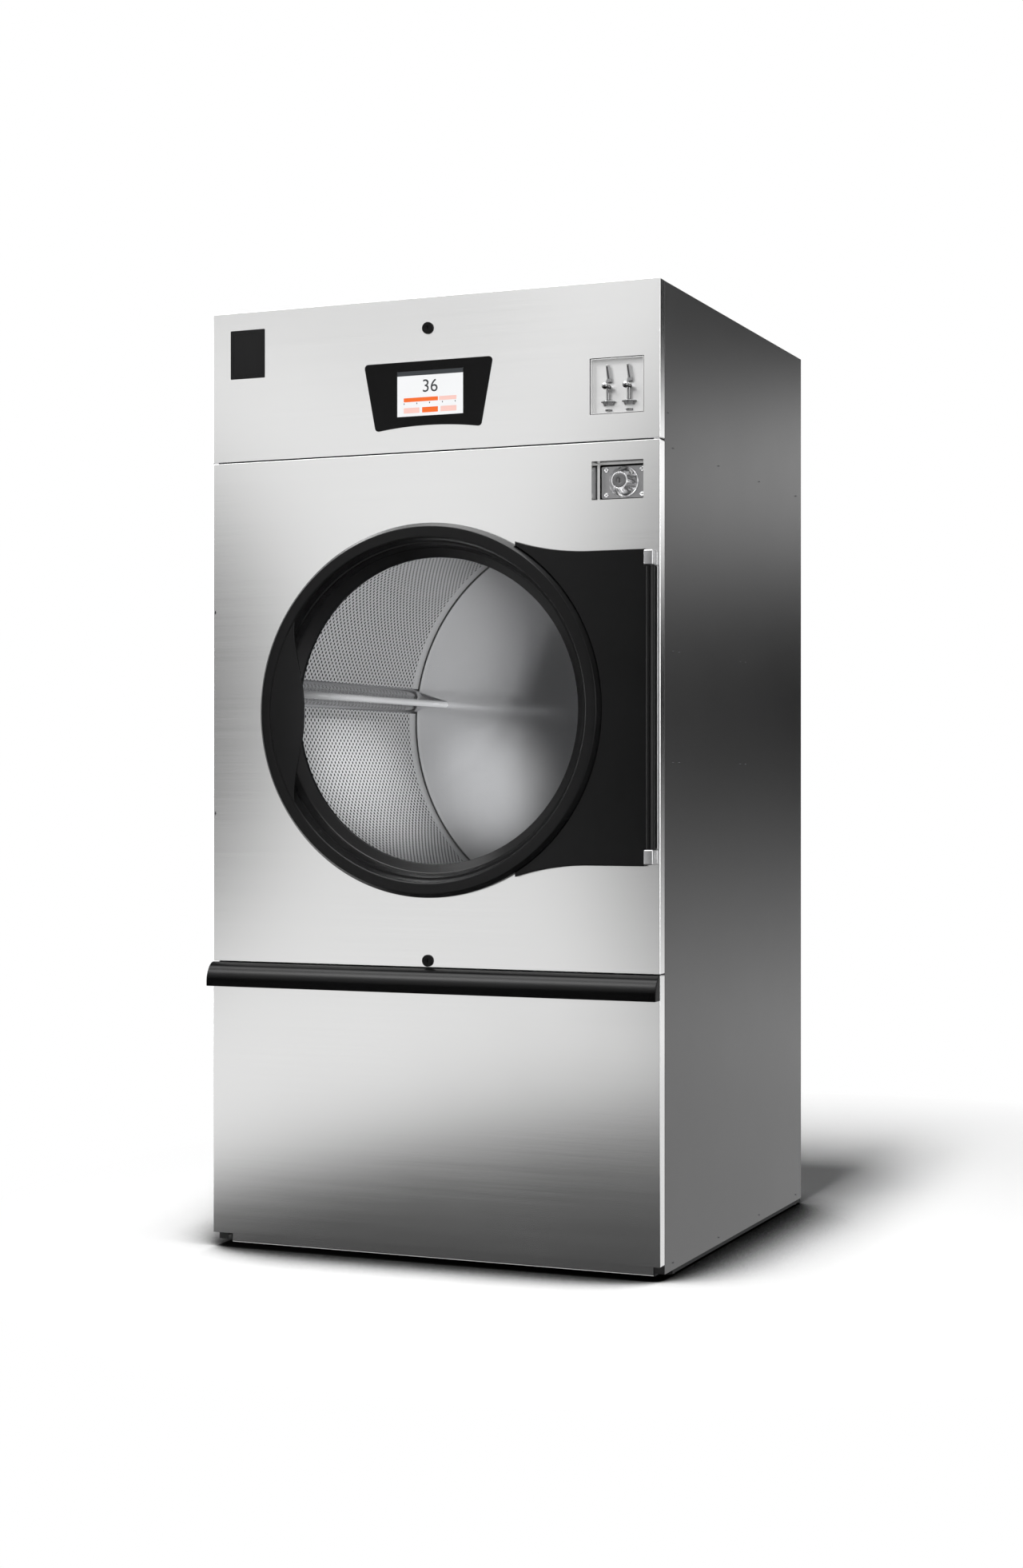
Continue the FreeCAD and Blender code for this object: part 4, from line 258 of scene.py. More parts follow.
def chain(name, points, closed=True):
    """A line of edges, drawn by extruding one point after another."""
    points = [Vector(point) for point in points]
    clear()
    bpy.ops.mesh.primitive_plane_add(size=1, location=points[0])
    piece = settle(name)
    with picked(piece, "VERT"):
        bpy.ops.mesh.merge(type="CENTER")
        for before, after in zip(points, points[1:]):
            bpy.ops.mesh.extrude_vertices_move(TRANSFORM_OT_translate={"value": after - before})
    if closed:
        ends = (points[0], points[-1])
        with picked(piece, "VERT", lambda at: min((at - end).length for end in ends) < WELD):
            bpy.ops.mesh.edge_face_add()
    return piece


# Where a point of an outline lies, by the axis that the outline is across
LAY = {"X": lambda a, b, depth: (depth, a, b), "Y": lambda a, b, depth: (a, depth, b),
       "Z": lambda a, b, depth: (a, b, depth)}


def prism(name, outline, start, end, axis="Y"):
    """An outline in the plane across an axis, extruded along it."""
    lay = LAY[axis]
    piece = chain(name, [lay(a, b, start) for a, b in outline])
    with picked(piece, "VERT"):
        bpy.ops.mesh.edge_face_add()
        bpy.ops.mesh.extrude_region_move(TRANSFORM_OT_translate={"value": lay(0, 0, end - start)})
        bpy.ops.mesh.select_all(action="SELECT")
        bpy.ops.mesh.normals_make_consistent(inside=False)
    return piece


def lathe(name, profile, origin, steps, axis="Y"):
    """A profile of radii and depths turned about an axis through the origin point."""
    origin = Vector(origin)
    along = Vector(LAY[axis](0, 0, 1))
    out = Vector(LAY[axis](1, 0, 0))
    hollow = min(profile[0][0], profile[-1][0]) > 0
    piece = chain(name, [origin + out * radius + along * depth for radius, depth in profile], hollow)
    with picked(piece, "VERT"):
        bpy.ops.mesh.spin(steps=steps, angle=2 * math.pi, center=origin, axis=along)
        bpy.ops.mesh.select_all(action="SELECT")
        bpy.ops.mesh.remove_doubles(threshold=WELD)
        bpy.ops.mesh.normals_make_consistent(inside=False)
    return piece


def turned(name, profile, steps=160):
    """A profile turned about the axis that the door and the drum share."""
    return lathe(name, profile, (AXIS.x, 0, AXIS.z), steps)


def rounded(corners, steps=5):
    """An outline of corners (a, b) or (a, b, radius), where a radius turns the corner into an arc."""
    outline = []
    for before, corner, after in zip(corners[-1:] + corners[:-1], corners, corners[1:] + corners[:1]):
        here = Vector(corner[:2])
        if len(corner) < 3:
            outline.append(tuple(here))
            continue
        back = (Vector(before[:2]) - here).normalized()
        ahead = (Vector(after[:2]) - here).normalized()
        radius = corner[2]
        half = back.angle(ahead) / 2
        centre = here + (back + ahead).normalized() * radius / math.sin(half)
        start = here + back * radius / math.tan(half) - centre
        sweep = start.angle_signed(here + ahead * radius / math.tan(half) - centre)
        turns = [Matrix.Rotation(-sweep * step / steps, 2) for step in range(steps + 1)]
        outline += [tuple(centre + turn @ start) for turn in turns]
    return outline


def rectangle(low, high, radius=0.0):
    """The outline of a box seen along Y, with rounded corners if a radius is given."""
    corners = [(low.x, low.z), (high.x, low.z), (high.x, high.z), (low.x, high.z)]
    return rounded([corner + (radius,) for corner in corners]) if radius else corners


def arc(centre, radius, start, end, steps):
    """Points of an arc, from one angle in degrees to another."""
    turns = [math.radians(start + (end - start) * step / steps) for step in range(steps + 1)]
    return [(centre[0] + radius * math.cos(turn), centre[1] + radius * math.sin(turn)) for turn in turns]


def curve(points, steps):
    """Points of a Bezier curve with any number of control points."""
    found = []
    for step in range(steps + 1):
        level = [Vector(point) for point in points]
        while len(level) > 1:
            level = [a.lerp(b, step / steps) for a, b in zip(level, level[1:])]
        found.append(tuple(level[0]))
    return found


def round_edges(piece, radius, steps=3, test=lambda at, along: True):
    with picked(piece, "EDGE", test):
        bpy.ops.mesh.bevel(offset=radius, segments=steps, profile=0.5, clamp_overlap=True)


def round_front(piece, radius, steps, front):
    """Rounds the edges of the foremost face, which lies at the front."""
    round_edges(piece, radius, steps, lambda at, along: at.y < front + NEAR)


def round_corners(piece, radius, steps, least=30):
    """Rounds every edge that turns by more than the least angle, in degrees."""
    apply(piece, "BEVEL", width=radius, segments=steps, limit_method="ANGLE", angle_limit=math.radians(least),
          miter_outer="MITER_ARC")


def apply(piece, kind, **settings):
    """Adds a modifier to a piece and applies it."""
    only(piece)
    modifier = piece.modifiers.new(kind.title(), kind)
    for key, value in settings.items():
        setattr(modifier, key, value)
    bpy.ops.object.modifier_apply(modifier=modifier.name)
    return piece


def thicken(piece, gauge):
    """Gives a skin its thickness, inwards."""
    return apply(piece, "SOLIDIFY", thickness=gauge, offset=-1, use_even_offset=True)


def cut(piece, *cutters):
    """Cuts other pieces out of a piece, and throws them away."""
    for cutter in cutters:
        apply(piece, "BOOLEAN", operation="DIFFERENCE", solver="EXACT", object=cutter)
        bpy.data.objects.remove(cutter)
    return piece


def drop_faces(piece, test):
    with picked(piece, "FACE", test):
        bpy.ops.mesh.delete(type="FACE")


def copied(piece, shift=(0, 0, 0), turn=None):
    """A copy with its own mesh, turned about the origin and then moved."""
    only(piece)
    bpy.ops.object.duplicate(linked=False)
    copy = bpy.context.object
    copy.matrix_world = Matrix.Translation(shift) @ (turn.to_4x4() if turn else Matrix())
    return settle(piece.name + "_copy")


def mirrored(piece, name):
    """A copy on the other side of the machine's middle plane."""
    copy = named(copied(piece, turn=Matrix.Scale(-1, 3, (1, 0, 0))), name)
    with picked(copy, "FACE"):
        bpy.ops.mesh.normals_make_consistent(inside=False)
    return copy


def joined(name, pieces):
    clear()
    for piece in pieces:
        piece.select_set(True)
    bpy.context.view_layer.objects.active = pieces[0]
    if len(pieces) > 1:
        bpy.ops.object.join()
    return named(pieces[0], name)


def loose_boxes(node):
    """Lowest and highest corner of each separate solid of a frame node."""
    mesh = bmesh.new()
    mesh.from_mesh(frame["nodes"][node].data)
    bmesh.ops.remove_doubles(mesh, verts=mesh.verts, dist=WELD)
    left = set(mesh.verts)
    found = []
    while left:
        group = [left.pop()]
        for vertex in group:
            near = {edge.other_vert(vertex) for edge in vertex.link_edges} & left
            left -= near
            group.extend(near)
        corners = list(zip(*(vertex.co for vertex in group)))
        found.append((Vector([min(side) for side in corners]), Vector([max(side) for side in corners])))
    mesh.free()
    return sorted(found, key=lambda box: tuple(round(value, 4) for value in box[0]))


def finished(piece, node, material=None, smooth=38, replaces=True, slot=None):
    """Shades a piece, gives it its finish, sets it on its body and lets it stand for a frame node."""
    only(piece)
    bpy.ops.object.shade_smooth_by_angle(angle=math.radians(smooth))
    apply(piece, "WEIGHTED_NORMAL", keep_sharp=True, weight=80)
    piece.data.materials.clear()
    slot = slot or SLOT_OF[node]
    piece.data.materials.append(material or finish_of(slot))
    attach(piece, BODY_OF[node])
    if replaces:
        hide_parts(node)


# Shader maths

class Field:
    """A socket that Python's arithmetic can be written on."""

    def __init__(self, nodes, socket):
        self.nodes = nodes
        self.socket = socket

    def math(self, operation, *terms):
        return self.nodes.node("ShaderNodeMath", {"operation": operation}, dict(enumerate(terms)))

    def __add__(self, other):
        return self.math("ADD", self, other)

    def __radd__(self, other):
        return self.math("ADD", other, self)

    def __sub__(self, other):
        return self.math("SUBTRACT", self, other)

    def __rsub__(self, other):
        return self.math("SUBTRACT", other, self)

    def __mul__(self, other):
        return self.math("MULTIPLY", self, other)

    def __rmul__(self, other):
        return self.math("MULTIPLY", other, self)

    def __truediv__(self, other):
        return self.math("DIVIDE", self, other)

    def __rtruediv__(self, other):
        return self.math("DIVIDE", other, self)

    def clamped(self):
        return self.nodes.node("ShaderNodeClamp", {}, {"Value": self})

    def ramp(self, *stops):
        """Grey levels along the value, as pairs of place and level."""
        return self.nodes.node("ShaderNodeValToRGB", {"stops": stops}, {"Fac": self})


class Nodes:
    """The node tree of a material or a world, which is filled one node at a time."""

    def __init__(self, owner):
        owner.use_nodes = True
        self.tree = owner.node_tree
        self.tree.nodes.clear()

    def node(self, kind, settings=None, sockets=None, out=0):
        """Adds a node: its settings, then the values or links of its sockets. Gives one of its outputs."""
        made = self.tree.nodes.new(kind)
        for key, value in (settings or {}).items():
            if key == "stops":
                self.set_stops(made.color_ramp.elements, value)
            else:
                setattr(made, key, value)
        for key, value in (sockets or {}).items():
            if isinstance(value, Field):
                self.tree.links.new(value.socket, made.inputs[key])
            else:
                made.inputs[key].default_value = value
        return Field(self, made.outputs[out]) if made.outputs else None

    @staticmethod
    def set_stops(elements, stops):
        while len(elements) < len(stops):
            elements.new(1.0)
        for element, (position, level) in zip(elements, stops):
            element.position = position
            element.color = (level, level, level, 1.0)

    def places(self, scale=(1, 1, 1), shift=(0, 0, 0)):
        """Object coordinates, scaled and shifted."""
        found = self.node("ShaderNodeTexCoord", out="Object")
        return self.node("ShaderNodeMapping", {}, {"Vector": found, "Location": shift, "Scale": scale})

    def part(self, vector, axis):
        """One coordinate of a vector."""
        return self.node("ShaderNodeSeparateXYZ", {}, {"Vector": vector}, out=axis)

    def distance(self, scale, shift):
        """How far a place lies from the origin, once it is scaled and shifted."""
        vector = self.places(scale, shift)
        return self.node("ShaderNodeVectorMath", {"operation": "LENGTH"}, {0: vector}, out="Value")

    def noise(self, scale, detail, roughness=0.55):
        """Cloudy grey levels, with one scale for all axes or one for each."""
        scale = scale if isinstance(scale, tuple) else (scale, scale, scale)
        return self.node("ShaderNodeTexNoise", {}, {"Vector": self.places(scale), "Scale": 1.0,
                                                    "Detail": detail, "Roughness": roughness})

    def blend(self, mask, first, second):
        """A colour between two, by a mask."""
        ends = [value if isinstance(value, Field) else (*value[:3], 1.0) for value in (first, second)]
        return self.node("ShaderNodeMix", {"data_type": "RGBA"}, {0: mask, 6: ends[0], 7: ends[1]}, out=2)


class Finish(Nodes):
    """A material with one main shader, whose even values are set on its sockets."""

    def __init__(self, name, **even):
        self.material = bpy.data.materials.new(name)
        super().__init__(self.material)
        shader = self.node("ShaderNodeBsdfPrincipled")
        self.shader = shader.socket.node
        for key, value in even.items():
            self.entry(key).default_value = value
        self.node("ShaderNodeOutputMaterial", {}, {"Surface": shader})

    def entry(self, key):
        """The shader's socket, by its name in small letters."""
        return self.shader.inputs[key.replace("_", " ").title().replace("Ior", "IOR")]

    def paint(self, **varied):
        """Feeds values that change over the surface to the shader."""
        for key, value in varied.items():
            self.tree.links.new(value.socket, self.entry(key))

    def bump(self, height, depth, strength):
        """Raises the surface by a height field, with its depth in metres."""
        raised = self.node("ShaderNodeBump", {}, {"Strength": strength, "Distance": depth, "Height": height})
        self.paint(normal=raised)

    def tones(self, mask, tint, darker, paler):
        """A colour between two tones of a tint, by a mask."""
        return self.blend(mask, shade(tint, darker), shade(tint, paler))

    def upward(self):
        """How far the surface faces up, from zero to one."""
        facing = self.node("ShaderNodeTexCoord", out="Normal")
        return self.part(facing, "Z") * 0.5 + 0.5


# Finishes

LEVEL_LINES = (5.0, 640.0, 640.0)  # scale of grinding lines that run level across the front


def shade(tint, factor):
    return tuple(min(1.0, part * factor) for part in tint)


def brushed(name, tint, scale, rough, spread=0.10, depth=2.5e-5, metal=1.0):
    """Metal sheet with fine grinding lines, which run along the axis with the small scale."""
    finish = Finish(name, metallic=metal)
    fine = finish.noise(scale, detail=4.0, roughness=0.7)
    broad = finish.noise(tuple(part * 0.12 for part in scale), detail=2.0)
    clouds = finish.noise(2.3, detail=3.0)
    tone = (fine * 0.6 + broad * 0.4).clamped()
    finish.paint(base_color=finish.tones(tone, tint, 0.94, 1.05),
                 roughness=rough - spread / 2 + spread * tone + 0.05 * (clouds - 0.5))
    finish.bump(fine, depth=depth, strength=0.5)
    return finish.material


def brushed_front(colours):
    return brushed("brushed_front", colours.steel, LEVEL_LINES, rough=0.20, spread=0.08)


def coin_tray_steel(colours):
    return brushed("coin_tray_steel", colours.steel, LEVEL_LINES, rough=0.34)


def drum_steel(colours):
    return brushed("drum_steel", colours.drum, (90.0, 7.0, 90.0), rough=0.36, spread=0.08,
                   depth=1.5e-5, metal=0.5)


def drum_back_steel(colours):
    return brushed("drum_back_steel", colours.drum, (260.0, 260.0, 12.0), rough=0.12, spread=0.03,
                   depth=1e-6, metal=0.65)


def lifter_painted_highlight(colours, crest):
    """Lifter sheet with a painted highlight along its crest, at a distance from the drum's axis, where it is
    paler and less metallic, brightest at the back.
    """
    finish = Finish("lifter_steel")
    out = finish.distance((1, 0, 1), (-AXIS.x, 0, -AXIS.z))
    crest_highlight = out.ramp((crest + 0.002, 1.0), (crest + 0.008, 0.0))
    deeper = finish.part(finish.places(shift=(0, 0.5, 0)), "Y")
    # Painted highlight: the crest's colour runs from dim at the front to paler than the drum's steel at the
    # back
    pale = finish.tones(deeper.ramp((0.1, 0.0), (0.8, 1.0)), colours.drum, 0.4, 1.6)
    lines = finish.noise((90.0, 5.0, 90.0), detail=4.0, roughness=0.7)
    tone = finish.tones(lines, colours.drum, 0.75, 0.9)
    finish.paint(base_color=finish.blend(crest_highlight, tone, pale),
                 metallic=1 - 0.75 * crest_highlight, roughness=0.12 + 0.06 * lines + 0.12 * crest_highlight)
    finish.bump(lines, depth=8e-6, strength=0.5)
    return finish.material


def galvanized(colours):
    """Zinc-coated sheet with the flakes of its coat."""
    finish = Finish("galvanized", metallic=1.0)
    flakes = finish.node("ShaderNodeTexVoronoi", {}, {"Vector": finish.places(), "Scale": 85.0}, out="Color")
    grey = finish.node("ShaderNodeSeparateColor", {}, {"Color": flakes})
    dust = finish.noise(14.0, detail=5.0)
    finish.paint(base_color=finish.tones(grey, colours.zinc, 0.80, 1.12),
                 roughness=0.36 + 0.12 * grey + 0.10 * dust)
    finish.bump(dust, depth=6e-5, strength=0.3)
    return finish.material


def dark_paint(colours):
    """Powder coat with its faint orange peel."""
    finish = Finish("dark_paint", ior=1.68)
    peel = finish.noise(520.0, detail=2.0)
    clouds = finish.noise(3.0, detail=4.0)
    finish.paint(base_color=finish.tones(clouds, colours.paint, 0.85, 1.2),
                 roughness=0.29 + 0.06 * clouds + 0.05 * peel)
    finish.bump(peel, depth=4e-5, strength=0.35)
    return finish.material


def moulded(name, tint, rough, level, grain, depth):
    """Moulded plastic or rubber with a fine grain."""
    finish = Finish(name, ior=1.5, specular_ior_level=level)
    pits = finish.noise(grain, detail=2.0)
    clouds = finish.noise(9.0, detail=3.0)
    finish.paint(base_color=finish.tones(clouds, tint, 0.8, 1.25),
                 roughness=rough - 0.03 + 0.06 * clouds + 0.04 * pits)
    finish.bump(pits, depth=depth, strength=0.4)
    return finish.material


def black_plastic(colours):
    return moulded("black_plastic", colours.plastic, rough=0.17, level=0.16, grain=900.0, depth=1e-5)


def handle_plastic(colours):
    """Moulded black plastic that is polished along the middle of its curve."""
    finish = Finish("handle_plastic", ior=1.5, specular_ior_level=0.03, coat_roughness=0.27)
    clouds = finish.noise(9.0, detail=3.0)
    finish.paint(base_color=finish.tones(clouds, colours.plastic, 0.35, 0.6),
                 roughness=0.20 + 0.05 * clouds,
                 coat_weight=finish.upward().ramp((0.57, 0.0), (0.69, 0.6), (0.76, 0.6), (0.86, 0.05)))
    return finish.material


def lock_black(colours):
    return moulded("lock_black", colours.plastic, rough=0.22, level=0.1, grain=600.0, depth=1e-5)


def seal_rubber(colours):
    return moulded("seal_rubber", colours.rubber, rough=0.62, level=0.25, grain=700.0, depth=6e-5)


def motor_paint(colours):
    return moulded("motor_paint", colours.enamel, rough=0.42, level=0.4, grain=260.0, depth=8e-5)


# Painted shade: a near-black finish for parts that stand in shade
def scorched_shroud(colours):
    return moulded("scorched_shroud", shade(colours.iron, 0.1), rough=0.7, level=0.2, grain=200.0, depth=1e-4)


def display_glass(colours):
    """Polished black glass with the faintest smears."""
    finish = Finish("display_glass", ior=1.5, specular_ior_level=0.12)
    smears = finish.noise((30.0, 8.0, 12.0), detail=4.0)
    finish.paint(base_color=finish.tones(smears, colours.plastic, 0.35, 0.7),
                 roughness=0.05 + 0.06 * smears)
    return finish.material


def badge(colours):
    """Anodised plate with fine upright lines."""
    finish = Finish("badge", metallic=0.55, specular_ior_level=0.3)
    lines = finish.noise((700.0, 700.0, 8.0), detail=2.0)
    finish.paint(base_color=finish.tones(lines, colours.plastic, 0.8, 1.6),
                 roughness=0.34 + 0.08 * lines)
    finish.bump(lines, depth=1e-5, strength=0.3)
    return finish.material


def lit(name, tint):
    """A glowing mark or page of the display."""
    finish = Finish(name, roughness=0.12, emission_strength=0.92, specular_ior_level=0.3)
    drift = finish.noise(12.0, detail=1.0)
    finish.paint(base_color=finish.tones(drift, tint, 0.06, 0.08),
                 emission_color=finish.tones(drift, tint, 0.97, 1.0))
    return finish.material


def display_face(colours):
    return lit("display_face", colours.page)


def door_pane(colours):
    """Clear glass that lets light through and mirrors more at a slant."""
    material = bpy.data.materials.new("door_pane")
    nodes = Nodes(material)
    clear_part = nodes.node("ShaderNodeBsdfTransparent", {}, {"Color": (0.965, 0.968, 0.967, 1.0)})
    smears = nodes.noise((5.0, 5.0, 9.0), detail=4.0)
    mirror = nodes.node("ShaderNodeBsdfAnisotropic", {}, {"Roughness": 0.02, "Color": (0.9, 0.9, 0.9, 1.0)})
    fresnel = nodes.node("ShaderNodeFresnel", {}, {"IOR": 1.45})
    share = (fresnel * 0.2 + 0.004 * smears).clamped()
    mixed = nodes.node("ShaderNodeMixShader", {}, {0: share, 1: clear_part, 2: mirror})
    nodes.node("ShaderNodeOutputMaterial", {}, {"Surface": mixed})
    return material


def felt(colours):
    """Pressed wool, matt and fibrous."""
    finish = Finish("felt", ior=1.4, sheen_weight=0.4)
    fibres = finish.noise(420.0, detail=5.0, roughness=0.75)
    finish.paint(base_color=finish.tones(fibres, colours.felt, 0.7, 1.15),
                 roughness=0.85 + 0.1 * fibres)
    finish.bump(fibres, depth=4e-4, strength=0.6)
    return finish.material


def polished(name, tint, rough):
    """Plated metal with faint handling marks."""
    finish = Finish(name, metallic=1.0)
    marks = finish.noise(160.0, detail=4.0)
    finish.paint(base_color=finish.tones(marks, tint, 0.95, 1.03), roughness=rough + 0.06 * marks)
    return finish.material


def chrome(colours):
    """Plating with a painted shade on its undersides and a painted highlight on its top, set in its colour by
    the way it faces.
    """
    finish = Finish("chrome", metallic=1.0)
    # Painted shade and painted highlight: the colour is near black where the surface turns down and bright
    # where it turns up
    bright = finish.upward().ramp((0.22, 0.0), (0.50, 0.42), (0.66, 1.0))
    marks = finish.noise(160.0, detail=4.0)
    finish.paint(base_color=finish.tones(bright, colours.chrome, 0.04, 0.95), roughness=0.05 + 0.06 * marks)
    return finish.material


def hinge_steel(colours):
    return polished("hinge_steel", shade(colours.chrome, 0.8), rough=0.2)


def coin_lock_steel(colours):
    return polished("coin_lock_steel", shade(colours.chrome, 0.32), rough=0.25)


# Painted shade: the coin box's face is darkened to stand for the shade in its sunk vault
def vault_steel(colours):
    return polished("vault_steel", shade(colours.chrome, 0.55), rough=0.2)


def vault_chrome(colours):
    return polished("vault_chrome", shade(colours.chrome, 1.3), rough=0.14)


def screw_dark(colours):
    return polished("screw_dark", shade(colours.iron, 0.45), rough=0.28)


def bearing_steel(colours):
    return polished("bearing_steel", shade(colours.zinc, 0.95), rough=0.22)


def machine_iron(colours):
    """Turned iron with a dull oily skin."""
    finish = Finish("machine_iron", metallic=0.85)
    skin = finish.noise(60.0, detail=5.0)
    finish.paint(base_color=finish.tones(skin, colours.iron, 0.6, 1.3), roughness=0.40 + 0.2 * skin)
    finish.bump(skin, depth=1e-4, strength=0.3)
    return finish.material


FINISHES = (brushed_front, dark_paint, galvanized, drum_steel, black_plastic, display_glass, display_face,
            badge, door_pane, seal_rubber, felt, chrome, lock_black, screw_dark, machine_iron, bearing_steel,
            motor_paint)
FINISH_BY_SLOT = {maker.__name__: maker for maker in FINISHES}
MADE = {}


def finish_of(slot):
    """The material of a slot, made once."""
    if slot not in MADE:
        MADE[slot] = FINISH_BY_SLOT[slot](bpy.context.scene.dryer_colours)
    return MADE[slot]


# Stage

# Painted contact shadow: brightness painted on the floor by how much of the space above it is open, as pairs
# of place and level
PAINTED_SHADOW_LEVELS = ((0.30, 0.004), (0.52, 0.014), (0.58, 0.10), (0.64, 0.33), (0.70, 0.68), (0.80, 0.93),
                  (0.92, 0.99), (1.0, 1.0))
# Reach of the painted contact shadow
PAINTED_SHADOW_REACH = 0.36  # distance over which the machine darkens the floor
MIRRORED_FLOOR = 0.85  # brightness of the floor in a mirror
# Grey levels of the studio cards, as pairs of place and level
FLOOR_LEVELS = ((0.0, 0.06), (0.23, 0.07), (0.31, 0.15), (0.37, 0.36), (0.43, 0.64), (0.50, 0.87),
                (0.58, 0.97), (0.70, 1.0))
FLAG_LEVELS = ((0.0, 0.05), (0.6, 0.10), (0.8, 0.45), (1.0, 1.0))
TOP_LEVELS = ((0.0, 1.0), (0.17, 0.88), (0.32, 0.75), (1.0, 0.70))
BOX_LEVELS = ((0.0, 1.0), (0.7, 1.0), (1.0, 0.1))
SIDE_LEVELS = ((0.0, 0.80), (0.08, 0.68), (0.136, 0.52), (0.19, 0.36), (0.245, 0.22), (0.30, 0.11),
               (0.354, 0.04), (0.41, 0.0), (0.463, 0.01), (0.517, 0.10), (0.571, 0.38), (0.626, 0.80),
               (0.68, 1.0), (0.733, 0.86), (0.78, 0.28), (0.824, 0.0))
# How a card is turned, by the axis that it faces along
CARD_TURN = {"X": (math.pi / 2, 0, math.pi / 2), "Y": (math.pi / 2, 0, 0), "Z": (0, 0, 0)}
WHITE = (1, 1, 1, 1)


def seen_directly(nodes):
    """One where a ray comes from the camera, a mirror or a pane, and zero where it lights something."""
    camera, mirror, pane = (nodes.node("ShaderNodeLightPath", out=f"Is {kind} Ray")
                            for kind in ("Camera", "Glossy", "Transmission"))
    return (camera + mirror + pane).clamped()


def soft_world(scene, settings):
    scene.world = bpy.data.worlds.new("studio")
    nodes = Nodes(scene.world)
    even = nodes.node("ShaderNodeBackground", {}, {"Color": WHITE, "Strength": settings.sky})
    white = nodes.node("ShaderNodeBackground", {}, {"Color": WHITE, "Strength": 1.0})
    mixed = nodes.node("ShaderNodeMixShader", {}, {0: seen_directly(nodes), 1: even, 2: white})
    nodes.node("ShaderNodeOutputWorld", {}, {"Surface": mixed})


def pale_floor():
    """A floor that takes the key lamp's shadow near the machine, with a painted contact shadow from ambient
    occlusion in its colour and glow, and fades to white away from it.
    """
    clear()
    bpy.ops.mesh.primitive_plane_add(size=60)
    floor = settle("studio_floor")
    material = bpy.data.materials.new("studio_floor")
    nodes = Nodes(material)
    near = nodes.node("ShaderNodeTexGradient", {"gradient_type": "SPHERICAL"},
                      {"Vector": nodes.places((0.62, 0.50, 1.0), (-0.18, -0.20, 0.0))}, out="Fac")
    keep = near.ramp((0.0, 0.0), (0.55, 1.0))
    reach = nodes.node("ShaderNodeAmbientOcclusion", {"samples": 16}, {"Distance": PAINTED_SHADOW_REACH}, out="AO")
    # Painted contact shadow: ambient occlusion darkens the floor's colour and its glow near the machine
    painted_contact_shadow = reach.ramp(*PAINTED_SHADOW_LEVELS)
    mirrored_ray = nodes.node("ShaderNodeLightPath", out="Is Glossy Ray")
    glow = painted_contact_shadow * (1 - mirrored_ray) + MIRRORED_FLOOR * mirrored_ray
    matt = nodes.node("ShaderNodeBsdfDiffuse", {}, {"Color": painted_contact_shadow})
    white = nodes.node("ShaderNodeEmission", {}, {"Color": glow, "Strength": 1.0})
    mask = (seen_directly(nodes) * (1 - keep) + mirrored_ray).clamped()
    mixed = nodes.node("ShaderNodeMixShader", {}, {0: mask, 1: matt, 2: white})
    nodes.node("ShaderNodeOutputMaterial", {}, {"Surface": mixed})
    floor.data.materials.append(material)


def lamp(name, at, target, power, **shape):
    """A lamp aimed at a target. A size makes it a soft box, and a cone makes it a spot."""
    clear()
    turn = (Vector(target) - Vector(at)).to_track_quat("-Z", "Y").to_euler()
    bpy.ops.object.light_add(type="SPOT" if "spot_size" in shape else "AREA", location=at, rotation=turn)
    made = bpy.context.object
    made.name = name
    made.data.energy = power
    for key, value in shape.items():
        setattr(made.data, key, value)
    made.visible_glossy = False
    made.visible_camera = False


def card(name, centre, size, facing, stops, spot=None, glow=1.0):
    """A studio card that only mirrors see. Its grey levels run up its height, or out from a spot."""
    clear()
    bpy.ops.mesh.primitive_plane_add(size=1, location=centre, rotation=CARD_TURN[facing])
    bpy.context.object.scale = (*size, 1)
    made = settle(name)
    material = bpy.data.materials.new(name)
    nodes = Nodes(material)
    if spot:
        heart, radii = spot
        scale = [1 / radius for radius in radii]
        shift = [-at / radius for at, radius in zip(heart, radii)]
        value = nodes.distance(scale, shift)
    else:
        height = size[1]
        foot = centre[2] - height / 2
        value = nodes.part(nodes.places(shift=(0, 0, -foot)), "Z") / height
    shine = nodes.node("ShaderNodeEmission", {}, {"Color": value.ramp(*stops), "Strength": glow})
    nodes.node("ShaderNodeOutputMaterial", {}, {"Surface": shine})
    made.data.materials.append(material)
    for ray in ("camera", "diffuse", "shadow", "transmission", "volume_scatter"):
        setattr(made, "visible_" + ray, False)


def studio_cards():
    """Cards that shape what the steel front and the painted side mirror, and boxes for the glints."""
    floor_edge = FRONT + 0.035
    floor_depth = 7.1
    flags = FRONT - 3.0
    card("floor_card", (0.0, floor_edge - floor_depth / 2, 0.003), (9.0, floor_depth), "Z", FLOOR_LEVELS,
         ((0.3, floor_edge, 0.0), (3.14, floor_depth, 1.0)))
    for name, centre, size, radii in (
            ("left_flag", (-2.95, flags, 1.2), (2.4, 2.6), (1.2, 1.0, 1.2)),
            ("right_flag", (0.35, flags, 1.2), (2.7, 3.2), (1.35, 1.0, 1.6))):
        card(name, centre, size, "Y", FLAG_LEVELS, (centre, radii))
    card("top_flag", (-1.0, FRONT - 3.1, 2.9), (5.0, 1.6), "Y", TOP_LEVELS)
    for name, centre, size, facing, glow in (
            ("left_box", (-4.5, -0.2, 1.4), (1.6, 3.0), "X", 12.0),
            ("right_box", (4.5, -2.4, 1.4), (1.6, 3.0), "X", 6.0),
            ("front_box", (-2.0, FRONT - 2.9, 4.1), (3.8, 1.3), "Y", 9.0),
            ("top_box", (-0.8, -1.8, 5.0), (8.0, 1.5), "Z", 9.0)):
        radii = LAY[facing](size[0] / 2, size[1] / 2, 1.0)
        card(name, centre, size, facing, BOX_LEVELS, (centre, radii), glow)
    card("side_card", (1.5, 3.0, 1.5), (5.0, 3.0), "Y", SIDE_LEVELS, glow=1.35)


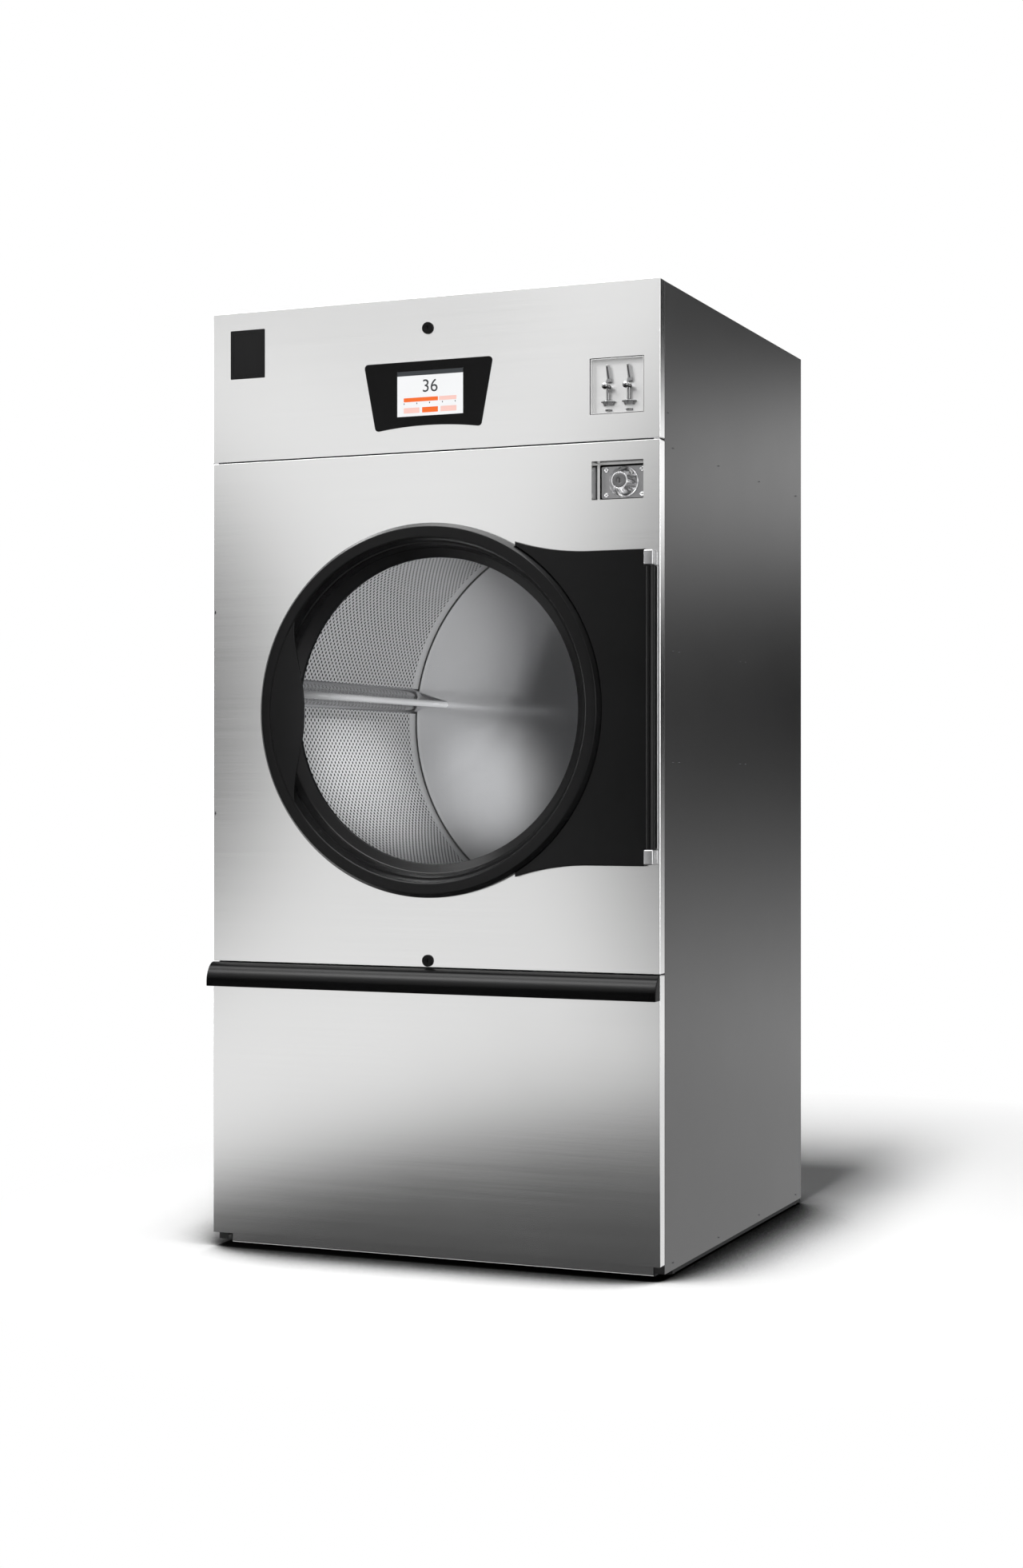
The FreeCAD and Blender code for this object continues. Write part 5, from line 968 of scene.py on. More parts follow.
class DRYER_OT_stage(bpy.types.Operator):
    """Sets the floor, the soft light and the camera"""
    bl_idname = "dryer.stage"
    bl_label = "Stage"

    def execute(self, context):
        settings = context.scene.dryer_stage
        context.scene.view_settings.view_transform = "Standard"
        soft_world(context.scene, settings)
        pale_floor()
        studio_cards()
        lamp("key_lamp", settings.key_place, AXIS, settings.key, shape="RECTANGLE", size=0.6, size_y=3.0)
        for name, at, power, reach, cone, blend in (
                ("drum_fill", settings.fill_place, settings.fill, (-0.40, 0.60, 0.14), 14.0, 0.8),
                ("drum_pool", settings.pool_place, settings.pool, (-0.44, 0.60, -0.165), 7.5, 1.0),
                ("drum_back", settings.back_place, settings.back, (-0.27, 0.92, -0.158), 6.0, 1.0)):
            lamp(name, at, AXIS + Vector(reach), power, spot_size=math.radians(cone), spot_blend=blend,
                 shadow_soft_size=0.06)
        clear()
        level = math.pi / 2
        bpy.ops.object.camera_add(location=settings.camera, rotation=(level, 0, settings.camera_turn))
        camera = context.object
        camera.data.lens = settings.lens
        camera.data.sensor_width = 36
        context.scene.camera = camera
        return {"FINISHED"}


# Folded sheets

HOLE_CORNER = 0.0015


def both_ways(size):
    """The same size across and up, for insets of an outline in the front."""
    return Vector((size, 0, size))


def pan(name, low, high, sizes):
    """A shallow tray of folded sheet with its open side to the back."""
    piece = block(name, low, high)
    drop_faces(piece, lambda at, normal: normal.y > ALONG)
    round_edges(piece, sizes.bend, 4,
                lambda at, along: at.y < high.y - sizes.bend and abs(along.x) < ACROSS)
    round_edges(piece, sizes.crease, 3, lambda at, along: at.y < low.y + NEAR and abs(along.x) > ALONG)
    return thicken(piece, sizes.gauge)


def through(name, outline):
    """A cutter through a front sheet."""
    return prism(name, outline, FRONT - SHEET_EDGE, FRONT + SHEET_EDGE)


def round_cutter(name, x, z, radius, sides=48):
    return bar(name, (x, FRONT - SHEET_EDGE, z), (x, FRONT + SHEET_EDGE, z), radius, sides)


class DRYER_OT_front_sheets(bpy.types.Operator):
    """Folds the front panel, the control panel and the drawer front"""
    bl_idname = "dryer.front_sheets"
    bl_label = "Front sheets"

    def execute(self, context):
        sizes = context.scene.dryer_sheets
        self.front_panel(sizes)
        seam = span("front_panel")[1].z + sizes.seam
        self.control_panel(sizes, seam)
        self.knuckles(sizes, seam)
        low, high = span("lint_drawer_front")
        finished(pan("lint_drawer_sheet", low, high, sizes), "lint_drawer_front")
        return {"FINISHED"}

    @staticmethod
    def front_panel(sizes):
        inset = both_ways(sizes.gauge)
        low, high = span("front_panel")
        vault_low, vault_high = span("coin_vault")
        sheet = pan("front_panel_sheet", low, high, sizes)
        cut(sheet, round_cutter("door_hole", AXIS.x, AXIS.z, sizes.door_hole, sides=128),
            through("vault_hole", rectangle(vault_low + inset, vault_high - inset, HOLE_CORNER)),
            round_cutter("lock_hole", AXIS.x, middle("lint_lock").z, sizes.lock_hole))
        finished(sheet, "front_panel")

    @staticmethod
    def control_panel(sizes, seam):
        inset = both_ways(sizes.gauge)
        coin_inset = inset * 0.8
        low, high = span("control_panel")
        coin_low, coin_high = span("coin_plate")
        screen_low, screen_high = span("display_screen")
        sheet = pan("control_panel_sheet", Vector((low.x, FRONT, seam)), high, sizes)
        coin_hole = rectangle(coin_low - coin_inset, coin_high + coin_inset, HOLE_CORNER)
        cut(sheet, through("coin_hole", coin_hole),
            through("screen_hole", rectangle(screen_low - inset, screen_high + inset)),
            round_cutter("lock_hole", AXIS.x, middle("control_lock").z, sizes.lock_hole))
        finished(sheet, "control_panel")

    @staticmethod
    def knuckles(sizes, seam):
        """The hinge knuckles of the control panel, at both ends of the seam."""
        low, high = span("control_panel")
        play = 1.5e-4
        end = 0.001
        radius = sizes.seam / 2 - play
        y, z = FRONT + radius, seam - sizes.seam / 2
        knuckles = [bar("knuckle", (x, y, z), (x + sizes.knuckle, y, z), radius, sides=20)
                    for x in (low.x + end, high.x - end - sizes.knuckle)]
        tabs = joined("control_panel_knuckles", knuckles)
        round_corners(tabs, 4e-4, 2)
        finished(tabs, "control_panel", replaces=False)


class DRYER_OT_cabinet_sheets(bpy.types.Operator):
    """Folds the side panels, the roof and the toe strip"""
    bl_idname = "dryer.cabinet_sheets"
    bl_label = "Cabinet sheets"

    def execute(self, context):
        sizes = context.scene.dryer_sheets
        self.sides(sizes)
        self.roof(sizes)
        self.toe(sizes)
        return {"FINISHED"}

    @staticmethod
    def sides(sizes):
        low, high = span("right_side_panel")
        right = block("right_side_sheet", low, high)
        drop_faces(right, lambda at, normal: normal.x < -ALONG or abs(normal.z) > ALONG)
        round_edges(right, sizes.bend, 4, lambda at, along: abs(along.z) > ALONG and at.x > high.x - NEAR)
        thicken(right, sizes.gauge)
        left = mirrored(right, "left_side_sheet")
        finished(right, "right_side_panel")
        finished(left, "left_side_panel")

    @staticmethod
    def roof(sizes):
        low, high = span("top_panel")
        roof = block("roof_sheet", low, high)
        drop_faces(roof, lambda at, normal: normal.z < -ALONG or normal.y > ALONG or abs(normal.x) > ALONG)
        round_edges(roof, sizes.bend, 4, lambda at, along: abs(along.x) > ALONG and at.z > high.z - NEAR
                    and at.y < low.y + NEAR)
        thicken(roof, sizes.gauge)
        finished(roof, "top_panel")

    @staticmethod
    def toe(sizes):
        """The steel strip on the base frame's front, folded under at its foot."""
        low, high = span("base_frame")
        end = high.x - sizes.toe_inset
        face, back = low.y - sizes.gauge, low.y - 1e-4
        fold = face + 0.012
        outline = rounded([(fold, low.z + sizes.gauge), (fold, low.z), (face, low.z, 0.004), (face, high.z),
                           (back, high.z), (back, low.z + sizes.gauge, 0.003)])
        strip = prism("toe_strip", outline, -end, end, "X")
        finished(strip, "base_frame", replaces=False, slot="brushed_front")


class DRYER_OT_screws(bpy.types.Operator):
    """Sets the cabinet screws in their places"""
    bl_idname = "dryer.screws"
    bl_label = "Cabinet screws"

    def execute(self, context):
        crown = context.scene.dryer_sheets.screw_crown
        boxes = loose_boxes("cabinet_screws")
        first_low, first_high = boxes[0]
        model = self.screw(min(first_high - first_low) / 2, crown)
        heads = []
        for low, high in boxes:
            size = high - low
            axis = max(range(3), key=lambda side: size[side])
            # A screw along Y is in the front, and the others point away from the middle
            outward = Vector((0, 0, 0))
            outward[axis] = 1.0 if (low + high)[axis] > 0 and axis != 1 else -1.0
            tip = (low + high) / 2
            tip[axis] = high[axis] if outward[axis] > 0 else low[axis]
            turn = Vector((0, 0, 1)).rotation_difference(outward).to_matrix()
            heads.append(copied(model, tip - outward * crown, turn))
        bpy.data.objects.remove(model)
        finished(joined("cabinet_screw_heads", heads), "cabinet_screws")
        return {"FINISHED"}

    @staticmethod
    def screw(radius, crown):
        """One domed head with a cross recess, standing on the origin, and a stub of its shank."""
        shank = radius * 0.5
        shoulder = crown * 0.25
        curvature = radius * 1.6
        dome = arc((0, crown - curvature), curvature, 90, 56, 4)
        dome = [(x, z) for x, z in dome if x < radius and z > shoulder]
        profile = [(0, -crown), (shank, -crown), (shank, 0), (radius, 0), (radius, shoulder)]
        model = lathe("screw", profile + dome[::-1], (0, 0, 0), steps=20, axis="Z")
        half, reach = radius * 0.14, radius * 0.5
        floor, above = crown * 0.45, crown * 2
        cut(model, block("slot_a", (-reach, -half, floor), (reach, half, above)),
            block("slot_b", (-half, -reach, floor), (half, reach, above)))
        return model


# Door

class DRYER_OT_door(bpy.types.Operator):
    """Models the door's ring, hinge plate, pull, glass and seals"""
    bl_idname = "dryer.door"
    bl_label = "Door"

    def execute(self, context):
        sizes = context.scene.dryer_door
        self.ring(sizes)
        self.hinge_plate(sizes)
        self.pull(sizes)
        self.glass()
        self.seals()
        return {"FINISHED"}

    @staticmethod
    def ring(sizes):
        low, high = span("door_ring")
        outer = high.x
        back = span("door_gasket")[0].y
        glass_low, glass_high = span("door_glass")
        room = 3e-4
        ledge = glass_high.x + room
        spigot = span("door_inner_bezel")[1].x
        cone_foot = FRONT + 0.020
        lip = FRONT + 0.033
        profile = rounded([
            (outer, back), (outer, back - sizes.flank, 0.002), (sizes.crest, low.y, 0.0028),
            (sizes.rim, low.y, 0.006), (sizes.cone, cone_foot, 0.012), (sizes.view, lip, 0.003),
            (sizes.view, glass_low.y), (ledge, glass_low.y), (ledge, high.y), (spigot, high.y),
            (spigot, back),
        ])
        ring = turned("door_ring_moulding", profile, steps=180)
        magnet_low, magnet_high = span("door_magnet")
        pocket = Vector((room, room, room))
        cut(ring, block("magnet_pocket", magnet_low - pocket, magnet_high + pocket))
        finished(ring, "door_ring")

    @staticmethod
    def hinge_plate(sizes):
        """The plate from the ring to the hinge, with its two swept horns and the barrel."""
        play = 4e-5
        neck = 0.013
        hinge_block = 0.030
        ring = span("door_ring")[1].x + play
        high = span("door_hinge_plate")[1]
        hinge = high.x - sizes.barrel
        pin = FRONT - 0.013
        edge = hinge - neck
        barrel_half = span("door_hinge_blocks")[1].z - AXIS.z - hinge_block
        reach = math.degrees(math.acos(sizes.plate_tip / ring))
        sweep = math.degrees(math.asin((sizes.plate_straight - sizes.plate_tip) / sizes.plate_sweep))
        top = AXIS.z + sizes.plate_half
        barrel_top = AXIS.z + barrel_half
        horn = arc((sizes.plate_straight, top + sizes.plate_sweep), sizes.plate_sweep, -90 - sweep, -90, 14)
        right = [(edge, top), (edge, barrel_top), (hinge, barrel_top)]
        lower = [(x, 2 * AXIS.z - z) for x, z in (horn + right)[::-1]]
        outline = arc((AXIS.x, AXIS.z), ring, -reach, reach, 64) + horn + right + lower
        plate = prism("plate", outline, FRONT - sizes.plate, high.y)
        round_front(plate, 0.0022, 3, FRONT - sizes.plate)
        barrel = bar("barrel", (hinge, pin, AXIS.z - barrel_half), (hinge, pin, barrel_top), sizes.barrel,
                     sides=40)
        round_corners(barrel, 0.0012, 2, least=60)
        finished(joined("door_hinge_leaf", [plate, barrel]), "door_hinge_plate")

    @staticmethod
    def pull(sizes):
        """The wing at the ring's left side, whose inner edge swells towards the middle of its height."""
        low, high = span("door_pull")
        half = (high.z - low.z) / 2
        rim = sizes.rim - 3e-4
        lean = math.degrees(math.asin(half / rim))
        outer = arc((AXIS.x, AXIS.z), rim, 180 + lean, 180 - lean, 24)
        edge = curve([(outer[-1][0], AXIS.z + half), (high.x - 0.027, AXIS.z + 0.150),
                      (high.x - 0.018, AXIS.z + 0.112), (high.x + 0.0015, AXIS.z + 0.060),
                      (high.x, AXIS.z)], 14)
        edge += [(x, 2 * AXIS.z - z) for x, z in edge[-2::-1]]
        pull = prism("door_pull_wing", outer + edge[1:-1], low.y, low.y + sizes.grip)
        round_edges(pull, 0.0014, 3, lambda at, along: abs(along.y) < ACROSS)
        finished(pull, "door_pull")

    @staticmethod
    def glass():
        low, high = span("door_glass")
        radius = high.x
        profile = rounded([(0, low.y), (radius, low.y, 0.001), (radius, high.y, 0.001), (0, high.y)])
        finished(turned("door_pane_disc", profile, steps=128), "door_glass")

    @staticmethod
    def seals():
        """The clamp ring behind the glass, and the gasket with its bulb."""
        clamp_width = 0.023
        low, high = span("door_inner_bezel")
        inner = high.x - clamp_width
        profile = rounded([(high.x, low.y), (high.x, high.y, 0.003), (inner, high.y, 0.003),
                           (inner, low.y, 0.001)])
        finished(turned("door_clamp_ring", profile), "door_inner_bezel")
        gasket_width = 0.017
        low, high = span("door_gasket")
        inner = high.x - gasket_width
        bulb = (high.x + inner) / 2
        lip = 0.0045
        web, neck = low.y + 0.0008, low.y + 0.001
        bulge = curve([(bulb + lip, neck), (bulb + lip, high.y), (bulb - lip, high.y), (bulb - lip, neck)], 8)
        profile = [(high.x, low.y), (high.x, web), *bulge, (inner, web), (inner, low.y)]
        finished(turned("door_gasket_bulb", profile), "door_gasket")


class DRYER_OT_hinges(bpy.types.Operator):
    """Models the two hinge blocks and the fixed leaf"""
    bl_idname = "dryer.hinges"
    bl_label = "Door hinges"

    def execute(self, context):
        tallest_block = 0.1
        pieces = []
        for low, high in loose_boxes("door_hinge_blocks"):
            piece = block("hinge_piece", low, high)
            leaf = high.z - low.z > tallest_block
            round_edges(piece, 0.0006 if leaf else 0.0024)
            pieces.append(piece)
        finished(joined("door_hinge_fittings", pieces), "door_hinge_blocks",
                 material=hinge_steel(context.scene.dryer_colours))
        return {"FINISHED"}


class DRYER_OT_handle(bpy.types.Operator):
    """Models the drawer's moulded handle and its end caps"""
    bl_idname = "dryer.handle"
    bl_label = "Drawer handle"

    def execute(self, context):
        low, high = span("lint_drawer_handle")
        cap, seam = 0.012, 2e-4
        wall = 0.0035
        hem = low.z + 0.010
        outer = curve([(high.y, high.z), (high.y - 0.016, high.z), (low.y, high.z - 0.022), (low.y, hem)], 24)
        inner = curve([(high.y, high.z - wall), (high.y - 0.014, high.z - wall),
                       (low.y + wall, high.z - 0.024), (low.y + wall, hem)], 24)
        lip = rounded([outer[-1], (low.y, low.z, 0.0017), (low.y + wall, low.z, 0.0017), inner[-1]], 4)
        rail = prism("rail", outer[:-1] + lip + inner[-2::-1], low.x + cap, high.x - cap, "X")
        front_lip = lip[:6]
        caps = []
        for start, end in ((low.x, low.x + cap - seam), (high.x, high.x - cap + seam)):
            solid = prism("cap", outer[:-1] + front_lip + [(high.y, low.z)], start, end, "X")
            round_edges(solid, 0.0016, 3, lambda at, along: abs(at.x - start) < NEAR)
            caps.append(solid)
        finished(joined("drawer_handle_moulding", [rail] + caps), "lint_drawer_handle",
                 material=handle_plastic(context.scene.dryer_colours))
        return {"FINISHED"}


# Locks

COIN_LOCK_RADIUS = 0.014


def coin_lock_axis():
    """Where the coin lock's axis meets the front, across and up."""
    return span("coin_lock")[0].x + COIN_LOCK_RADIUS, middle("coin_lock").z


class DRYER_OT_locks(bpy.types.Operator):
    """Models the three cam locks"""
    bl_idname = "dryer.locks"
    bl_label = "Cam locks"

    def execute(self, context):
        for node in ("control_lock", "lint_lock"):
            self.lock(node, (AXIS.x, middle(node).z), radius=0.012, stem=0.0095, face_back=FRONT - 3e-4)
        self.lock("coin_lock", coin_lock_axis(), radius=COIN_LOCK_RADIUS, stem=0.009,
                  face_back=span("coin_lock")[0].y + 0.0145,
                  material=coin_lock_steel(context.scene.dryer_colours))
        return {"FINISHED"}

    @staticmethod
    def lock(node, centre, radius, stem, face_back, material=None):
        """A face with a sunk plug and its key slot, the barrel behind it and the cam on its end."""
        low, high = span(node)
        x, z = centre
        front, cam = low.y, high.y - 0.003
        cam_half = 0.006
        plug, sunk = radius * 0.42, front + 0.0012
        slot_half, slot_reach = 0.0009, radius * 0.33
        profile = rounded([
            (0, sunk), (plug, sunk), (plug, front + 0.0002, 0.0002), (radius * 0.55, front),
            (radius, front, 0.0014), (radius, face_back), (stem, face_back), (stem, cam), (0, cam),
        ])
        body = lathe("lock_body", profile, (x, 0, z), steps=48)
        cut(body, block("key_slot", (x - slot_half, front - PAST, z - slot_reach),
                        (x + slot_half, front + 0.006, z + slot_reach)))
        arm = block("cam", (x - cam_half, cam, z - cam_half), (high.x, high.y, z + cam_half))
        round_edges(arm, 0.0025, 3, lambda at, along: abs(along.y) > ALONG)
        finished(joined(node + "_fitting", [body, arm]), node, material=material)


# Control panel fittings

class DRYER_OT_display(bpy.types.Operator):
    """Models the display's glass and its lit page"""
    bl_idname = "dryer.display"
    bl_label = "Display"

    def execute(self, context):
        self.glass()
        self.page(context.scene.dryer_colours)
        return {"FINISHED"}

    @staticmethod
    def glass():
        low, high = span("display_bezel")
        top, bottom, arch, corner = 0.142, 0.116, 0.0085, 0.008
        foot = low.z - 0.001
        under = curve([(-bottom, foot), (0, foot + 2 * arch), (bottom, foot)], 16)
        corners = [(-bottom, foot, corner), *under[2:-2], (bottom, foot, corner), (top, high.z, corner),
                   (-top, high.z, corner)]
        plate = prism("display_glass_plate", rounded(corners, 6), low.y, high.y)
        round_front(plate, 0.0007, 3, low.y)
        screen_low, screen_high = span("display_screen")
        window = block("window", screen_low - Vector((0, PAST, 0)), screen_high)
        finished(cut(plate, window), "display_bezel")

    @staticmethod
    def page(colours):
        """The lit page with its number of minutes, a bar of progress and three choices."""
        low, high = span("display_screen")
        front = span("display_bezel")[0].y + 4e-4
        screen = block("display_panel", (low.x, front, low.z), high)
        round_edges(screen, 0.0003, 2)
        finished(screen, "display_screen")

        wide, tall = high.x - low.x, high.z - low.z
        mark = 1.5e-4

        def at(across, up):
            return Vector((low.x + across * wide, front, low.z + up * tall))

        def tile(name, left, bottom, right, top):
            piece = block(name, at(left, bottom) - Vector((0, mark, 0)), at(right, top))
            round_edges(piece, 0.0008, 2, lambda place, along: abs(along.y) > ALONG)
            return piece

        def digits(name, text, centre, size):
            clear()
            bpy.ops.object.text_add(location=centre - Vector((0, mark * 2, 0)), rotation=(math.pi / 2, 0, 0))
            made = bpy.context.object
            made.data.body = text
            made.data.size = size
            made.data.align_x = "CENTER"
            made.data.align_y = "CENTER"
            made.data.extrude = mark / 2
            bpy.ops.object.convert(target="MESH")
            return settle(name)

        left, right = 0.10, 0.90
        bar_foot, bar_top = 0.32, 0.41
        choice_foot, choice_top = 0.07, 0.19
        dark = [tile("strip", 0.0, 0.90, 1.0, 1.0), digits("minutes", "36", at(0.5, 0.645), 0.036)]
        dark += [tile("tick", across, 0.265, across + 0.012, 0.30)
                 for across in (left, 0.294, 0.488, 0.682, 0.876)]
        warm = [tile("progress", left, bar_foot, 0.62, bar_top),
                tile("choice", 0.38, choice_foot, 0.62, choice_top)]
        pale = [tile("rest", 0.635, bar_foot, right, bar_top),
                tile("choice", left, choice_foot, 0.34, choice_top),
                tile("choice", 0.66, choice_foot, right, choice_top)]
        faded = tuple(part * 0.45 + 0.55 for part in colours.accent)
        for name, pieces, material in (
                ("display_dark_marks", dark, lit("display_ink", colours.ink)),
                ("display_warm_marks", warm, lit("display_accent", colours.accent)),
                ("display_pale_marks", pale, lit("display_accent_pale", faded))):
            finished(joined(name, pieces), "display_screen", material=material, replaces=False)


class DRYER_OT_badge(bpy.types.Operator):
    """Models the bare badge plate with its raised border"""
    bl_idname = "dryer.badge"
    bl_label = "Badge plate"

    def execute(self, context):
        low, high = span("badge_plate")
        face = low.y + 4e-4
        root = low.y + 6e-4
        plate = prism("plate", rectangle(low, high, 0.002), face, high.y)
        round_front(plate, 0.0003, 2, face)
        inset = both_ways(0.006)
        line = both_ways(0.0011)
        border = prism("border", rectangle(low + inset, high - inset, 0.002), low.y, root)
        inside = rectangle(low + inset + line, high - inset - line, 0.0015)
        cut(border, prism("inside", inside, low.y - PAST, high.y + PAST))
        finished(joined("badge_blank", [plate, border]), "badge_plate")
        return {"FINISHED"}


# Coin fittings

RETURN_BUTTONS = ("left_return_button", "right_return_button")


class DRYER_OT_coin_panel(bpy.types.Operator):
    """Models the coin recess with its slots, return buttons and cups"""
    bl_idname = "dryer.coin_panel"
    bl_label = "Coin panel"

    def execute(self, context):
        sizes = context.scene.dryer_sheets
        self.recess(sizes, context.scene.dryer_colours)
        back = span("coin_plate")[1].y - sizes.gauge
        fittings = []
        for node in RETURN_BUTTONS:
            x = middle(node).x
            fittings += [self.nose(x, back), self.post(x, back), *self.cup(x, back)]
            self.button(node)
        finished(joined("coin_slot_fittings", fittings), "coin_fittings")
        return {"FINISHED"}

    @staticmethod
    def recess(sizes, colours):
        low, high = span("coin_plate")
        inset = both_ways(sizes.gauge)
        tray = prism("coin_tray", rectangle(low, high, 0.0012), FRONT + sizes.gauge, high.y)
        cut(tray, prism("inside", rectangle(low + inset, high - inset, 0.0007), FRONT - PAST,
                        high.y - sizes.gauge))
        for node in RETURN_BUTTONS:
            stem = middle(node)
            cut(tray, bar("stem_hole", (stem.x, FRONT, stem.z), (stem.x, high.y + PAST, stem.z),
                          radius=0.0045, sides=32))
        finished(tray, "coin_plate", material=coin_tray_steel(colours))

    @staticmethod
    def nose(x, back):
        """The slanted nose of one mechanism, with its coin slot."""
        top = span("coin_fittings")[1].z
        foot = middle("left_return_button").z + 0.006
        front = back - 0.009
        outline = rounded([(x - 0.0035, top, 0.0025), (x + 0.0015, top, 0.002),
                           (x + 0.0065, foot + 0.010, 0.006), (x + 0.0065, foot + 0.002, 0.002),
                           (x - 0.0045, foot, 0.003), (x - 0.0010, foot + 0.010, 0.004)])
        nose = prism("nose", outline, front, back)
        round_front(nose, 0.0012, 3, front)
        slot_top, slot_foot = top - 0.004, foot + 0.009
        slot = [(x - 0.0022, slot_top), (x + 0.0002, slot_top), (x + 0.0042, slot_foot),
                (x + 0.0018, slot_foot)]
        return cut(nose, prism("slot", slot, back - 0.02, back - 0.002))

    @staticmethod
    def post(x, back):
        """The post under one return button."""
        button = middle("left_return_button").z
        y = back - 0.005
        return bar("post", (x, y, button - 0.026), (x, y, button - 0.004), radius=0.0034, sides=32)

    @staticmethod
    def cup(x, back):
        """The brim and the bowl of one return cup."""
        low = span("coin_fittings")[0].z
        top = low + 0.019
        outline = rounded([(x - 0.015, back), (x - 0.0135, back - 0.008, 0.004), (x, back - 0.0165, 0.006),
                           (x + 0.0135, back - 0.008, 0.004), (x + 0.015, back)])

        def drawn_in(across, deep):
            """The brim's outline, drawn in towards the middle of its back."""
            return [(x + (a - x) * across, back + (b - back) * deep) for a, b in outline]

        mouth = drawn_in(0.66, 0.7)
        brim = prism("brim", outline, top - 0.0025, top, "Z")
        round_edges(brim, 0.0009, 2, lambda at, along: abs(along.z) < ACROSS)
        cut(brim, prism("mouth", mouth, top - PAST, top + PAST, "Z"))
        bowl = prism("bowl", drawn_in(0.8, 0.82), low, top - 0.001, "Z")
        with picked(bowl, "FACE", lambda at, normal: normal.z < -ALONG):
            bpy.ops.transform.resize(value=(0.55, 0.55, 1.0), center_override=(x, back, low))
        cut(bowl, prism("hollow", mouth, low + 0.003, top + PAST, "Z"))
        return brim, bowl

    @staticmethod
    def button(node):
        low, high = span(node)
        centre = middle(node)
        ball = (high.z - low.z) / 2
        stem = 0.0035
        turn = math.degrees(math.asin(stem / ball))
        knob = arc((0, low.y + ball), ball, -90, 90 - turn, 16)
        profile = [(0, low.y)] + knob[1:] + [(stem, high.y), (0, high.y)]
        finished(lathe(node + "_knob", profile, (centre.x, 0, centre.z), steps=40), node)


class DRYER_OT_coin_vault(bpy.types.Operator):
    """Models the coin box front in its sunk vault"""
    bl_idname = "dryer.coin_vault"
    bl_label = "Coin vault"

    def execute(self, context):
        colours = context.scene.dryer_colours
        low, high = span("coin_box_front")
        base = high.y - 0.002
        self.shell(context.scene.dryer_sheets, low, high, base)
        bright = vault_chrome(colours)
        plate = prism("coin_box_face", rectangle(low, high, 0.003), base, high.y)
        round_front(plate, 0.0006, 2, base)
        finished(plate, "coin_box_front", material=vault_steel(colours))
        self.boss(low.y, base, bright)
        self.bolts(base, bright)
        return {"FINISHED"}

    @staticmethod
    def shell(sizes, box_low, box_high, base):
        """The throat behind the front panel, the ledge round the box and the tunnel that it slides in."""
        low, high = span("coin_vault")
        ledge_depth = 0.002
        gauge, room, wall = both_ways(sizes.gauge), both_ways(0.0008), both_ways(0.0028)
        throat = prism("throat", rectangle(low, high, 0.003), FRONT + sizes.gauge, base)
        cut(throat, prism("mouth", rectangle(low + gauge, high - gauge, HOLE_CORNER), FRONT - PAST, high.y))
        ledge = prism("ledge", rectangle(low, high, 0.003), base, base + ledge_depth)
        tunnel = prism("tunnel", rectangle(box_low - room - wall, box_high + room + wall), base, high.y)
        for shell in (ledge, tunnel):
            way = rectangle(box_low - room, box_high + room)
            cut(shell, prism("way", way, FRONT, high.y - ledge_depth))
        # The lock's cam turns up into a slot in the roof, and the coins drop through a hole behind it
        x = coin_lock_axis()[0]
        cam = span("coin_lock")[1].y
        roof = box_high.z - 0.001
        above = roof + PAST
        drop_half = 0.036
        cut(tunnel, block("cam_slot", (x - 0.007, cam - 0.004, roof), (x + 0.0192, cam + 0.001, above)),
            block("coin_drop", (x - drop_half, FRONT + 0.12, roof), (x + drop_half, FRONT + 0.18, above)))
        finished(joined("coin_vault_shell", [throat, ledge, tunnel]), "coin_vault")

    @staticmethod
    def boss(top, base, bright):
        """The bright cone round the lock."""
        bore, crown, shoulder, rim = 0.0143, 0.0165, 0.0285, 0.0305
        profile = rounded([(bore, base), (bore, top, 0.0004), (crown, top, 0.0012),
                           (shoulder, base - 0.005, 0.004), (rim, base - 0.003, 0.001), (rim, base)])
        x, z = coin_lock_axis()
        boss = lathe("coin_box_boss", profile, (x, 0, z), steps=64)
        finished(boss, "coin_box_front", material=bright, replaces=False, slot="chrome")

    @staticmethod
    def bolts(base, bright):
        """The domed bolts in the corners of the box's front."""
        bolts = []
        for low, high in loose_boxes("coin_box_bolts"):
            centre = (low + high) / 2
            radius = (high.x - low.x) / 2
            shank = radius * 0.5
            crown = base - low.y
            dome = curve([(radius, base), (radius, base - crown * 0.75), (radius * 0.55, base - crown),
                          (0, base - crown)], 8)
            profile = [(0, high.y), (shank, high.y), (shank, base)] + dome
            bolts.append(lathe("bolt", profile, (centre.x, 0, centre.z), steps=24))
        finished(joined("coin_box_domed_bolts", bolts), "coin_box_bolts", material=bright)


# Drum

